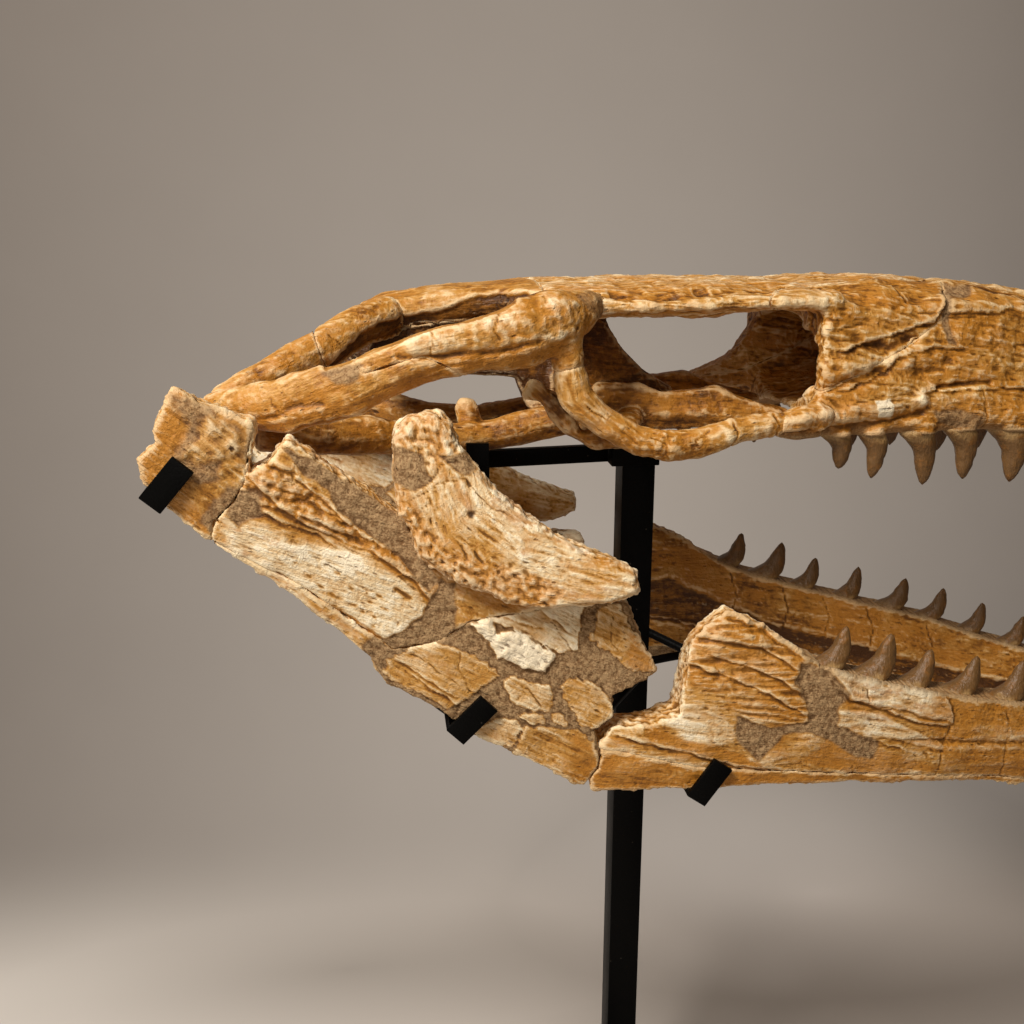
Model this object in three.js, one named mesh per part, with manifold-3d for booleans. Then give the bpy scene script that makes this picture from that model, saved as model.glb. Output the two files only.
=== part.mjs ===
// Life-size fossil mosasaur skull with gaping jaws, held on a black steel stand.
//
// Millimetres, +Z up. The origin is on the floor, on the axis of the stand's post. +X runs towards
// the snout, +Y to the skull's left. Inside the skull group, z is counted from the mouth line, the
// level of the upper jaw's tooth margin. Paired bones are shaped on the left side and mirrored.
import * as THREE from 'three';
import { mergeVertices } from 'three/addons/utils/BufferGeometryUtils.js';
import Module from 'manifold-3d';

const wasm = await Module();
wasm.setup();

// ---- Driving sizes ----------------------------------------------------------------------------

const MOUTH_LINE = 710;        // height of the upper tooth margin above the floor
const SNOUT_TIP = 600;         // front of the upper jaw
const SKULL_REAR = -306;       // rear end of the temporal arch
const ROOF = 106;              // top of the skull table above the mouth line
const ORBIT_FRONT = 111;       // front edge of the eye opening
const RIM = 88;                // half width of the skull across the eye rims
const ARCH = 125;              // half width across the temporal arches
const PALATE_RECESS = 12;      // depth of the palate between the tooth rows
const JAW_SPREAD = 121;        // half width between the middles of the lower jaws at the joint
const JOINT_X = -55;           // joint in the middle of each lower jaw
const JAW_TIP = 585;           // front of the lower jaw
const SETTLE_X = 14;           // the left lower jaw's rear half has settled forwards and down
const SETTLE_Z = -28;
const SUTURE = 0.45;           // gap kept between touching pieces
const FACET = 0.1;             // facets that lie closer than this to one another are merged

const POST = 25.4;             // square tube of the post
const BASE = { length: 480, width: 270, thickness: 12, centre: 50 };
const STRAP = { width: 16, thickness: 3.5, outerLeg: 33, innerLeg: 14 };
const ROD = 8;                 // rods that carry the clips

const BONE = { color: '#c59a5a', roughness: 0.78, metalness: 0 };
const STEEL = { color: '#0c0c0d', roughness: 0.5, metalness: 0.3 };

// ---- Solids -------------------------------------------------------------------------------------

// The solid that a closed geometry bounds.
function solidOf(geometry) {
  const bare = geometry.clone();
  bare.deleteAttribute('normal');
  bare.deleteAttribute('uv');
  const merged = mergeVertices(bare, 1e-3);
  const corners = merged.index.array;
  const faces = [];
  for (let i = 0; i < corners.length; i += 3) {
    const [a, b, c] = [corners[i], corners[i + 1], corners[i + 2]];
    if (a !== b && b !== c && c !== a) faces.push(a, b, c);
  }
  const mesh = new wasm.Mesh({
    numProp: 3,
    vertProperties: Float32Array.from(merged.attributes.position.array),
    triVerts: Uint32Array.from(faces),
  });
  const solid = new wasm.Manifold(mesh);
  if (solid.volume() > 0) return solid;
  mesh.triVerts = mesh.triVerts.map((_, i, all) => all[i - (i % 3) + 2 - (i % 3)]);
  return new wasm.Manifold(mesh);
}

// The faces of a solid as a geometry.
function geometryOf(solid) {
  const mesh = solid.getMesh();
  const places = new Float32Array(mesh.numVert * 3);
  for (let i = 0; i < mesh.numVert; i += 1) {
    for (let k = 0; k < 3; k += 1) places[i * 3 + k] = mesh.vertProperties[i * mesh.numProp + k];
  }
  const geometry = new THREE.BufferGeometry();
  geometry.setAttribute('position', new THREE.BufferAttribute(places, 3));
  geometry.setIndex(Array.from(mesh.triVerts));
  return geometry;
}

// The same solid with every point moved by change(x, y, z).
function warped(solid, change) {
  const geometry = geometryOf(solid);
  const place = geometry.attributes.position;
  for (let i = 0; i < place.count; i += 1) {
    place.setXYZ(i, ...change(place.getX(i), place.getY(i), place.getZ(i)));
  }
  return solidOf(geometry);
}

// The same solid, with every face moved outwards by a small distance.
function grown(solid, distance) {
  const geometry = geometryOf(solid);
  const place = geometry.attributes.position;
  const corners = geometry.index.array;
  const facing = Array.from({ length: place.count }, () => []);
  const face = new THREE.Triangle();
  for (let i = 0; i < corners.length; i += 3) {
    face.setFromAttributeAndIndices(place, corners[i], corners[i + 1], corners[i + 2]);
    const normal = face.getNormal(new THREE.Vector3());
    if (face.getArea() > 1e-4) [0, 1, 2].forEach((k) => facing[corners[i + k]].push(normal));
  }
  facing.forEach((normals, i) => {
    const move = new THREE.Vector3();
    for (let pass = 0; pass < 10; pass += 1) {
      normals.forEach((normal) => {
        move.addScaledVector(normal, Math.max(distance - normal.dot(move), 0));
      });
    }
    move.clampLength(0, 3 * distance);
    place.setXYZ(i, place.getX(i) + move.x, place.getY(i) + move.y, place.getZ(i) + move.z);
  });
  return solidOf(geometry);
}

// The largest connected body of a solid, so that a cut leaves no crumbs.
function largest(solid) {
  const bodies = solid.decompose();
  return bodies.reduce((best, body) => (body.volume() > best.volume() ? body : best));
}

const joined = (...solids) => solids.reduce((all, solid) => all.add(solid));
const clearOf = (solid, ...others) => largest(
  others.reduce((rest, other) => rest.subtract(grown(other, SUTURE)), solid),
);

// ---- Shapes that bones are made of --------------------------------------------------------------

// A rounded limb along a smooth line. Each station is [x, y, z, half width, half height].
function limb(stations, { sides = 8, square = 2.3, across = [0, 1, 0], finer = 1 } = {}) {
  const path = new THREE.CatmullRomCurve3(stations.map(([x, y, z]) => new THREE.Vector3(x, y, z)));
  const girth = new THREE.CatmullRomCurve3(
    stations.map(([, , , width, height]) => new THREE.Vector3(width, height, 0)),
  );
  const rings = (stations.length - 1) * finer;
  const geometry = new THREE.CylinderGeometry(1, 1, 1, sides, rings);
  geometry.rotateY(Math.PI / sides);
  const place = geometry.attributes.position;
  for (let i = 0; i < place.count; i += 1) {
    const along = 0.5 - place.getY(i);
    const [c, s] = [place.getX(i), place.getZ(i)];
    const radius = Math.hypot(c, s);
    const corner = radius > 0.5 ? (Math.abs(c) ** square + Math.abs(s) ** square) ** (-1 / square) : 0;
    const tangent = path.getTangent(along);
    const sideways = new THREE.Vector3(...across);
    sideways.addScaledVector(tangent, -sideways.dot(tangent)).normalize();
    const upwards = new THREE.Vector3().crossVectors(tangent, sideways);
    const size = girth.getPoint(along);
    const point = path.getPoint(along);
    point.addScaledVector(sideways, c * corner * size.x);
    point.addScaledVector(upwards, s * corner * size.y);
    place.setXYZ(i, point.x, point.y, point.z);
  }
  return solidOf(geometry);
}

const shapeOf = (points) => new THREE.Shape(points.map(([u, v]) => new THREE.Vector2(u, v)));

// A slab seen from the side: an outline in x and z, between two values of y, with soft edges.
function sideSlab(points, yLow, yHigh, edge = 0) {
  const geometry = new THREE.ExtrudeGeometry(shapeOf(points), {
    depth: yHigh - yLow - 2 * edge,
    bevelEnabled: edge > 0,
    bevelThickness: edge,
    bevelSize: edge * 0.7,
    bevelOffset: -edge * 0.7,
    bevelSegments: 1,
  });
  geometry.rotateX(Math.PI / 2);
  geometry.translate(0, yHigh - edge, 0);
  return solidOf(geometry);
}

// A slab seen from above: an outline in x and y, between two heights.
function topSlab(points, zLow, zHigh) {
  const depth = zHigh - zLow;
  const geometry = new THREE.ExtrudeGeometry(shapeOf(points), { depth, bevelEnabled: false });
  geometry.translate(0, 0, zLow);
  return solidOf(geometry);
}

// An upright conical crown. Its base is at the origin, it leans towards +x and its root is buried.
const CROWN = [[0, -0.3], [1, -0.3], [0.62, 0.55], [0, 1]];
function crown(width, height, lean) {
  const profile = CROWN.map(([r, h]) => new THREE.Vector2(r * width / 2, h * height));
  const geometry = new THREE.LatheGeometry(profile, 5);
  geometry.rotateX(Math.PI / 2);
  const place = geometry.attributes.position;
  for (let i = 0; i < place.count; i += 1) {
    const rise = Math.max(place.getZ(i), 0);
    place.setXYZ(i, place.getX(i) + lean * rise, place.getY(i) * 0.75, place.getZ(i));
  }
  return solidOf(geometry);
}

const mirrored = (solid) => warped(solid, (x, y, z) => [x, -y, z]);
const raised = (solid) => warped(solid, (x, y, z) => [x, y, z + MOUTH_LINE]);

// ---- Middle line and level of the lower jaw -----------------------------------------------------

// A value read off a line of [x, value] pairs.
function read(line, x) {
  const after = line.findIndex(([at]) => at >= x);
  if (after === 0) return line[0][1];
  if (after < 0) return line[line.length - 1][1];
  const [x0, v0] = line[after - 1];
  const [x1, v1] = line[after];
  return v0 + (v1 - v0) * (x - x0) / (x1 - x0);
}

const JAW_MIDDLE = [[-340, 140], [-300, 137], [-260, 131], [-200, 124], [JOINT_X, JAW_SPREAD], [124, 117],
  [274, 98], [450, 57], [JAW_TIP, 17]];
const jawMiddle = (x) => read(JAW_MIDDLE, x);

// ---- Snout and skull roof -----------------------------------------------------------------------

// Half width at the tooth margin, half width at the roof, lower and upper level, along the snout.
const SNOUT = [
  { x: ORBIT_FRONT, low: 87, high: 80, bottom: 0, top: 103 },
  { x: 160, low: 84, high: 70, bottom: 0, top: ROOF },
  { x: 230, low: 75, high: 56, bottom: 0, top: 102 },
  { x: 310, low: 65, high: 41, bottom: -4, top: 92 },
  { x: 400, low: 54, high: 30, bottom: -7, top: 76 },
  { x: 490, low: 42, high: 20, bottom: -9, top: 59 },
  { x: 555, low: 31, high: 13, bottom: -9, top: 44 },
  { x: 588, low: 19, high: 7, bottom: -7, top: 31 },
  { x: SNOUT_TIP, low: 8, high: 4, bottom: 0, top: 20 },
];

// Outline of the snout's section as shares of its half widths and of its height.
const SNOUT_SECTION = [[0, 1], [0.62, 0.985], [1, 0.86], [1, 0.5], [0.98, 0.08], [0.86, 0], [0, 0]];

function snoutBody(shrink, stations) {
  const points = [];
  stations.forEach(({ x, low, high, bottom, top }) => {
    const ring = SNOUT_SECTION.map(([share, rise]) => {
      const half = low + (high - low) * rise - shrink;
      return [share * half, bottom + shrink + rise * (top - bottom - 2 * shrink)];
    });
    const other = ring.slice(1, -1).reverse().map(([y, z]) => [-y, z]);
    [...ring, ...other].forEach(([y, z]) => points.push(x, y, z));
  });
  const around = points.length / 3 / stations.length;
  const faces = [];
  for (let s = 0; s < stations.length - 1; s += 1) {
    for (let i = 0; i < around; i += 1) {
      const [a, b] = [s * around + i, s * around + (i + 1) % around];
      faces.push(a, b, b + around, a, b + around, a + around);
    }
  }
  for (let i = 1; i < around - 1; i += 1) {
    faces.push(0, i + 1, i);
    const last = (stations.length - 1) * around;
    faces.push(last, last + i, last + i + 1);
  }
  const geometry = new THREE.BufferGeometry();
  geometry.setAttribute('position', new THREE.Float32BufferAttribute(points, 3));
  geometry.setIndex(faces);
  return solidOf(geometry);
}

const table = limb([
  [-80, 0, 94, 66, 10], [-50, 0, 92, 86, 11], [20, 0, 93, RIM, 11],
  [85, 0, 94, 87, 9], [125, 0, 93, 80, 9],
], { sides: 12, square: 3 });

// The nasal space opens backwards into the eye openings.
const nasalSpace = limb([
  [60, 0, 48, 76, 34], [130, 0, 48, 68, 34], [185, 0, 48, 44, 26], [200, 0, 48, 30, 16],
], { sides: 8, square: 5 });
const nostril = limb([
  [268, 17, 92, 5, 22], [300, 21, 88, 10, 30], [350, 20, 78, 10, 30], [400, 16, 70, 4, 22],
], { sides: 6 });
const palateTrough = limb([
  [80, 0, -6, 66, PALATE_RECESS + 4], [230, 0, -6, 54, PALATE_RECESS + 5],
  [400, 0, -12, 35, PALATE_RECESS + 4], [520, 0, -14, 20, PALATE_RECESS + 2], [560, 0, -14, 8, 6],
], { sides: 8, square: 3 });

let skullFront = joined(snoutBody(0, SNOUT), table)
  .subtract(nasalSpace)
  .subtract(nostril)
  .subtract(mirrored(nostril))
  .subtract(palateTrough);

// Takes the part of the remaining skull front that lies in a region, and leaves a suture round it.
function takeFrom(region) {
  const bone = largest(skullFront.intersect(region));
  skullFront = skullFront.subtract(grown(region, SUTURE));
  return bone;
}

const frontal = takeFrom(topSlab([
  [-90, -100], [60, -100], [92, -50], [150, -36], [215, -9],
  [215, 9], [150, 36], [92, 50], [60, 100], [-90, 100],
], 74, 120));
const premaxillaBody = takeFrom(joined(
  sideSlab([[494, -30], [508, 16], [530, 32], [548, 90], [640, 90], [640, -30]], -60, 60),
  topSlab([[216, -6], [300, -8], [540, -7], [540, 7], [300, 8], [216, 6]], 30, 120),
));
const leftMaxillaRegion = sideSlab([
  [60, -30], [60, 22], [104, 28], [128, 38], [176, 60], [206, 80], [224, 120], [640, 120], [640, -30],
], SUTURE, 140);
const leftMaxillaBody = takeFrom(leftMaxillaRegion);
const rightMaxillaBody = takeFrom(mirrored(leftMaxillaRegion));
const leftPrefrontalRegion = sideSlab([[60, 0], [60, 130], [260, 130], [260, 0]], SUTURE, 140);
const leftPrefrontalWall = takeFrom(leftPrefrontalRegion);
const rightPrefrontal = takeFrom(mirrored(leftPrefrontalRegion));

// ---- Upper teeth --------------------------------------------------------------------------------

// [x of the base, width, height] of the first teeth; the rest follow at an even pitch.
const REAR_UPPER_TEETH = [[129, 20, 25], [155, 20, 34], [195, 25, 42], [228, 25, 40], [269, 28, 41]];
const UPPER_PITCH = 35;
const UPPER_COUNT = 11;
const upperTeeth = [...REAR_UPPER_TEETH];
while (upperTeeth.length < UPPER_COUNT) {
  const number = upperTeeth.length;
  const x = upperTeeth[number - 1][0] + UPPER_PITCH;
  upperTeeth.push([x, 26 - 0.7 * (number - 4), 40 - 1.4 * (number - 4)]);
}
const PREMAXILLA_TEETH = [[526, 19, 29], [558, 17, 25]];
const TOOTH_INSET = 11;

const snoutLine = (key) => SNOUT.map((station) => [station.x, station[key]]);

function upperTooth([x, width, height]) {
  const level = read(snoutLine('bottom'), x) + 1;
  const middle = read(snoutLine('low'), x) - TOOTH_INSET;
  return warped(crown(width, height, 0.14), (u, v, w) => [x + u, middle + v, level - w]);
}

// A sloping wall in the lower front corner of the left eye opening. On the right it has broken away.
const buttress = sideSlab([
  [52, 14], [62, 26], [90, 38], [108, 62], [122, 92], [150, 92], [150, 14],
], 56, 78, 5);
const rightSide = (solids) => solids.map(mirrored);
const leftUpperTeeth = upperTeeth.map(upperTooth);
const frontUpperTeeth = PREMAXILLA_TEETH.map(upperTooth);
const rearProcess = limb([[78, 93, 11, 6, 8], [92, 90, 11, 9, 11], [112, 80, 13, 11, 13]], { sides: 8 });

const leftMaxilla = joined(
  leftMaxillaBody, rearProcess, buttress.intersect(leftMaxillaRegion), ...leftUpperTeeth,
);
const rightMaxilla = joined(rightMaxillaBody, mirrored(rearProcess), ...rightSide(leftUpperTeeth));
const leftPrefrontal = leftPrefrontalWall.add(buttress.subtract(grown(leftMaxillaRegion, SUTURE)));
const premaxilla = joined(premaxillaBody, ...frontUpperTeeth, ...rightSide(frontUpperTeeth));

// ---- Bones round the eye and the temporal opening -----------------------------------------------

const cheekBoss = limb([
  [-48, 70, 92, 9, 9], [-62, 90, 91, 15, 13], [-82, 108, 86, 16, 20], [-104, 118, 79, 14, 23],
  [-135, ARCH - 2, 75, 12, 19], [-175, ARCH - 2, 66, 12, 19], [-215, ARCH - 2, 48, 11, 18],
  [-254, 118, 36, 10, 18], [-284, 107, 33, 9, 13], [SKULL_REAR, 97, 32, 6, 8],
], { sides: 8, square: 2.2 });
const cheekPost = limb([
  [-76, 104, 88, 13, 14], [-75, 107, 68, 11, 11], [-73, 107, 56, 10, 10],
], { sides: 8 });
const squamosalRegion = sideSlab([
  [-340, 0], [-340, 90], [-228, 90], [-205, 57], [-168, 68], [-140, 54], [-120, 40], [-120, 0],
], 60, 170);

const jugalBar = limb([
  [-73, 107, 54, 9, 10], [-67, 107, 36, 9, 11], [-49, 106, 20, 9, 10], [-24, 104, 5, 9, 10],
  [0, 102, 1, 9, 10], [22, 100, 2, 8, 10], [48, 97, 9, 8, 9], [76, 94, 12, 7, 8], [94, 93, 13, 5, 6],
], { sides: 8 });

// The left arch was pressed down, and forwards at its rear end.
const pressedArch = (x, y, z) => {
  const rear = THREE.MathUtils.smoothstep(-x, 170, 300);
  const drop = THREE.MathUtils.smoothstep(-x, 40, 110);
  return [x + 14 * rear, y, z - 11 * drop];
};
const leftArch = warped(joined(cheekBoss, cheekPost), pressedArch);
const rightArch = mirrored(joined(cheekBoss, cheekPost));

// ---- Parietal, its rami and the braincase -------------------------------------------------------

const parietalTable = limb([
  [-72, 0, 93, 62, 11], [-92, 0, 92, 44, 12], [-112, 0, 90, 31, 13], [-150, 0, 87, 25, 14],
  [-186, 0, 82, 27, 14], [-204, 0, 77, 30, 11],
], { sides: 10, square: 3 });
const ramus = limb([
  [-184, 20, 83, 12, 14], [-206, 38, 77, 12, 15], [-232, 60, 64, 11, 15], [-258, 78, 52, 10, 14],
  [-282, 88, 43, 8, 11], [-300, 92, 36, 5, 7],
], { sides: 8, across: [0.75, 0.66, 0] });
const supratemporalRegion = sideSlab([
  [-340, 0], [-340, 110], [-262, 110], [-240, 84], [-226, 40], [-226, 0],
], 30, 150);

const braincaseOutline = [
  [-196, 76], [-60, 80], [-30, 82], [-26, 70], [-14, 53], [2, 37], [28, 22], [20, 15], [-58, 8],
  [-86, 14], [-94, 36], [-140, 40], [-186, 38], [-204, 48],
];
const braincaseWidth = [[-204, 1], [-100, 1], [-60, 0.6], [30, 0.3]];
const wedge = sideSlab(braincaseOutline, -24, 24);
const condyle = solidOf(new THREE.SphereGeometry(13, 6, 4).translate(-206, 0, 55));
const earStrut = limb([
  [-176, 12, 56, 10, 10], [-215, 44, 42, 9, 8], [-250, 72, 30, 8, 6], [-266, 84, 28, 5, 5],
], { sides: 6, across: [0.6, 0.8, 0] });

// ---- Palate bones -------------------------------------------------------------------------------

// The pterygoid runs back as a rod, and forwards as a blade that carries small teeth.
const pterygoidRod = limb([
  [-276, 90, 11, 6, 11], [-250, 80, 9, 8, 13], [-200, 62, 4, 9, 14], [-160, 45, -3, 10, 12],
  [-125, 34, -5, 11, 11], [-80, 29, 3, 12, 12], [-40, 32, 12, 14, 13], [30, 36, 12, 15, 12],
  [106, 32, 6, 8, 6],
], { sides: 6 });
const pterygoidCrest = sideSlab([
  [-62, 4], [-40, 34], [-10, 33], [8, 26], [48, 30], [68, 21], [100, 10], [96, 0], [-50, 0],
], 34, 45);
const pterygoidStub = limb([
  [-128, 26, -2, 6, 8], [-133, 24, 16, 6, 9], [-133, 24, 22, 4, 6],
], { sides: 6 });
const PTERYGOID_TEETH = { first: -26, pitch: 26, count: 5, width: 11, height: 13 };
const pterygoidTeeth = Array.from({ length: PTERYGOID_TEETH.count }, (_, number) => {
  const { first, pitch, width, height } = PTERYGOID_TEETH;
  return warped(crown(width, height, 0), (u, v, w) => [first + pitch * number + u, 38 + v, -w]);
});
const pterygoid = joined(pterygoidRod, pterygoidCrest, ...pterygoidTeeth);
const ectopterygoidFlange = joined(
  sideSlab([
    [-58, 6], [-70, 30], [-92, 45], [-101, 32], [-86, 29], [-82, 20],
    [-70, 7], [-50, -5], [-22, -4], [-16, 8], [-36, 18],
  ], 76, 86, 2),
  limb([[-34, 82, 6, 10, 5], [-24, 62, 8, 12, 6], [-14, 44, 10, 10, 7]], { sides: 6, across: [1, 0, 0] }),
);

// ---- Lower jaws ---------------------------------------------------------------------------------

const rearJawOutline = [
  [-322, 43], [-317, 52], [-304, 44], [-272, 30], [-274, 14], [-278, -3], [-264, 5], [-252, 18],
  [-231, 2], [-204, -19], [-181, -36], [-148, -62], [-108, -84], [-66, -97], [-34, -101], [-29, -116],
  [-12, -151], [-20, -158], [-44, -166], [-42, -182], [-56, -191], [-51, -210], [-52, -222],
  [-62, -235], [-94, -216], [-122, -199], [-139, -190], [-159, -171], [-196, -149], [-207, -128],
  [-251, -84], [-309, -37], [-325, -21], [-338, -3], [-340, 11], [-328, 21], [-330, 27],
];
const jawRib = limb([
  [-350, 141, 12, 8, 50], [-300, 137, 2, 10, 58], [-260, 131, -32, 12, 70], [-200, 124, -80, 14, 84],
  [-140, 122, -125, 14, 92], [-90, 121, -155, 14, 92], [-40, 121, -170, 13, 88], [0, 120, -170, 9, 80],
], { sides: 12, square: 2.6 });
let rearJaw = jawRib.intersect(
  warped(sideSlab(rearJawOutline, -30, 30, 14), (x, y, z) => [x, y + jawMiddle(x), z]),
);

function takeFromRearJaw(outline) {
  const region = sideSlab(outline, 60, 180);
  const bone = largest(rearJaw.intersect(region));
  rearJaw = rearJaw.subtract(grown(region, SUTURE));
  return bone;
}

const articular = takeFromRearJaw([
  [-400, 80], [-264, 80], [-279, -5], [-286, -17], [-299, -30], [-303, -50], [-400, -50],
]);
const angular = takeFromRearJaw([
  [-320, -57], [-303, -42], [-252, -74], [-192, -124], [-163, -121], [-141, -107], [-72, -99], [-20, -83],
  [30, -80], [30, -260], [-320, -260],
]);
const surangular = largest(rearJaw);

const coronoidOutline = [
  [-188, 0], [-187, 21], [-176, 31], [-159, 31], [-151, 25], [-148, 12], [-137, 0], [-124, -16],
  [-106, -34], [-84, -49], [-51, -64], [-33, -72], [-32, -86], [-54, -92], [-103, -94], [-148, -76],
  [-171, -59], [-184, -32],
];
const coronoidSaddle = warped(
  sideSlab(coronoidOutline, -11, 11, 5),
  (x, y, z) => [x, y + 140 - 0.1 * (z + 40) + 0.05 * (x + 100), z],
);

// The left coronoid has lost the top of its process.
const belowBreak = sideSlab([
  [-220, -120], [-220, -4], [-174, 6], [-160, 1], [-148, 9], [-120, 9], [0, 9], [0, -120],
], 60, 200);

const frontJawOutline = [
  [-57, -231], [-48, -213], [-50, -204], [-40, -192], [-16, -191], [6, -185], [10, -148], [14, -131],
  [38, -112], [54, -120], [76, -134], [97, -150], [135, -166], [189, -182], [240, -195], [300, -209],
  [344, -224], [400, -240], [480, -258], [560, -273], [JAW_TIP, -281], [JAW_TIP + 2, -297], [565, -315],
  [480, -309], [380, -291], [285, -271], [227, -259], [140, -249], [51, -243], [-54, -240],
];
const frontJawRib = limb([
  [-75, 121, -210, 10, 40], [-20, 121, -208, 13, 48], [40, 120, -184, 14, 80], [100, 118, -198, 15, 60],
  [200, 109, -219, 15, 47], [300, 92, -241, 15, 42], [400, 69, -264, 14, 38], [500, 43, -284, 13, 34],
  [560, 25, -294, 11, 28], [592, 15, -298, 7, 22],
], { sides: 12, square: 2.6 });
let frontJaw = frontJawRib.intersect(
  warped(sideSlab(frontJawOutline, -30, 30, 10), (x, y, z) => [x, y + jawMiddle(x), z]),
);
const splenialRegion = sideSlab([
  [-80, -270], [-80, -200], [-30, -211], [20, -226], [120, -239], [230, -255], [300, -270], [300, -310],
], 60, 180);
const splenial = largest(frontJaw.intersect(splenialRegion));
frontJaw = largest(frontJaw.subtract(grown(splenialRegion, SUTURE)));

// [x of the base, width, height] of the rear lower teeth; the rest follow at an even pitch.
const REAR_LOWER_TEETH = [[117, 23, 27], [151, 23, 30], [184, 22, 26], [224, 22, 27], [265, 22, 27]];
const LOWER_PITCH = 36;
const LOWER_COUNT = 13;
const lowerTeeth = [...REAR_LOWER_TEETH];
while (lowerTeeth.length < LOWER_COUNT) {
  const number = lowerTeeth.length;
  const x = lowerTeeth[number - 1][0] + LOWER_PITCH;
  lowerTeeth.push([x, 21 - 0.4 * (number - 4), 28 - 0.7 * (number - 4)]);
}
const TOOTH_MARGIN = [
  [96, -152], [135, -167], [189, -183], [240, -196], [300, -210], [344, -225], [400, -241], [560, -275],
];
const dentary = joined(frontJaw, ...lowerTeeth.map(([x, width, height]) => warped(
  crown(width, height, 0.3),
  (u, v, w) => [x + u, jawMiddle(x) + v, read(TOOTH_MARGIN, x) + w],
)));

// The left lower jaw has settled at the rear.
const settled = (x, y, z) => {
  const rear = 1 - THREE.MathUtils.smoothstep(x, -70, 90);
  return [x + SETTLE_X * rear, y, z + SETTLE_Z * rear];
};

// ---- Stand, in floor coordinates ----------------------------------------------------------------

// A bar with a rectangular section between two places. Its height runs nearest to upright.
function bar(from, to, width, height) {
  const [start, end] = [new THREE.Vector3(...from), new THREE.Vector3(...to)];
  const along = new THREE.Vector3().subVectors(end, start);
  const geometry = new THREE.BoxGeometry(along.length(), width, height);
  const ahead = along.clone().normalize();
  const sideways = new THREE.Vector3(-ahead.y, ahead.x, 0).normalize();
  const upwards = new THREE.Vector3().crossVectors(ahead, sideways);
  geometry.applyMatrix4(new THREE.Matrix4().makeBasis(ahead, sideways, upwards));
  const middle = start.add(end).multiplyScalar(0.5);
  geometry.translate(middle.x, middle.y, middle.z);
  return solidOf(geometry);
}

// A round rod along a bent line.
function rod(points, diameter, steps) {
  const places = points.map((point) => new THREE.Vector3(...point));
  const path = new THREE.CatmullRomCurve3(places, false, 'centripetal');
  const section = new THREE.Shape().absarc(0, 0, diameter / 2, 0, 2 * Math.PI);
  return solidOf(new THREE.ExtrudeGeometry(section, { extrudePath: path, steps, curveSegments: 3 }));
}

// A hooked strap under the edge of a lower jaw: an outer leg, a web below and an inner leg.
function clip({ x, z, lean, outer, inner }) {
  const { width, thickness } = STRAP;
  const reach = outer - inner;
  const leg = (y, length) => new THREE.BoxGeometry(width, thickness, length).translate(0, y, length / 2);
  const web = new THREE.BoxGeometry(width, reach, thickness);
  web.translate(0, (outer + inner) / 2, thickness / 2);
  const parts = [
    leg(outer - thickness / 2, STRAP.outerLeg),
    leg(inner + thickness / 2, STRAP.innerLeg),
    web,
  ];
  return joined(...parts.map((geometry) => solidOf(
    geometry.rotateY(THREE.MathUtils.degToRad(lean)).translate(x, 0, z),
  )));
}

const CLIPS = {
  rear: { x: -335, z: -17, lean: 41, outer: 154, inner: 118 },
  middle: { x: -152, z: -188, lean: 45, outer: 141, inner: 98 },
  front: { x: 18, z: -249, lean: 35, outer: 139, inner: 96 },
};
const SPINE = [
  [-324, 121, -24], [-293, 114, -56], [-252, 109, -90], [-209, 103, -134], [-152, 101, -188],
  [-102, 101, -219], [-55, 101, -232], [20, 100, -236], [90, 98, -238], [150, 93, -242],
];
const above = ([x, y, z]) => [x, y, z + MOUTH_LINE];
const postTop = MOUTH_LINE - 34;

// ---- Scene graph --------------------------------------------------------------------------------

const display = new THREE.Group();
const skull = new THREE.Group();
skull.position.z = MOUTH_LINE;
display.add(skull);

function place(group, name, solid, finish, earlier = []) {
  const body = largest(clearOf(solid, ...earlier).simplify(FACET));
  const mesh = new THREE.Mesh(geometryOf(body), new THREE.MeshStandardMaterial(finish));
  mesh.name = name;
  group.add(mesh);
  return body;
}
const bone = (name, solid, ...earlier) => place(skull, name, solid, BONE, earlier);

const frontalBody = bone('frontal', frontal);
bone('premaxilla', premaxilla);
const parietal = bone('parietal', parietalTable, frontalBody);
const rami = [];
const held = [];

[['left', leftArch, leftMaxilla, leftPrefrontal], ['right', rightArch, rightMaxilla, rightPrefrontal]]
  .forEach(([side, arch, maxilla, prefrontal]) => {
    const onSide = (solid) => (side === 'left' ? solid : mirrored(solid));
    const region = side === 'left' ? warped(squamosalRegion, pressedArch) : mirrored(squamosalRegion);
    const upperJaw = bone(`maxilla_${side}`, maxilla, premaxillaBody);
    bone(`prefrontal_${side}`, prefrontal, upperJaw, frontalBody);
    const frontOfArch = arch.subtract(grown(region, SUTURE));
    const orbital = bone(`postorbitofrontal_${side}`, frontOfArch, frontalBody, parietal);
    const squamosal = bone(`squamosal_${side}`, arch.intersect(region), orbital);
    const cheek = bone(`jugal_${side}`, onSide(jugalBar), orbital, upperJaw);
    const shiftedRamus = side === 'left' ? warped(ramus, pressedArch) : mirrored(ramus);
    const tail = side === 'left'
      ? warped(supratemporalRegion, pressedArch)
      : mirrored(supratemporalRegion);
    const arm = bone(`parietal_ramus_${side}`, shiftedRamus.subtract(grown(tail, SUTURE)), parietal);
    const armTip = bone(`supratemporal_${side}`, shiftedRamus.intersect(tail), arm, squamosal);
    const palateBar = bone(
      `pterygoid_${side}`,
      side === 'left' ? pterygoid : mirrored(pterygoid.add(pterygoidStub)),
      upperJaw,
      armTip,
      squamosal,
    );
    bone(`ectopterygoid_${side}`, onSide(ectopterygoidFlange), palateBar, cheek);
    rami.push(arm, armTip);
    held.push(raised(palateBar));
  });

const braincase = joined(
  warped(wedge, (x, y, z) => [x, y * read(braincaseWidth, x), z]),
  condyle,
  earStrut,
  mirrored(earStrut),
);
bone('braincase', braincase, parietal, frontalBody, ...rami);

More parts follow.
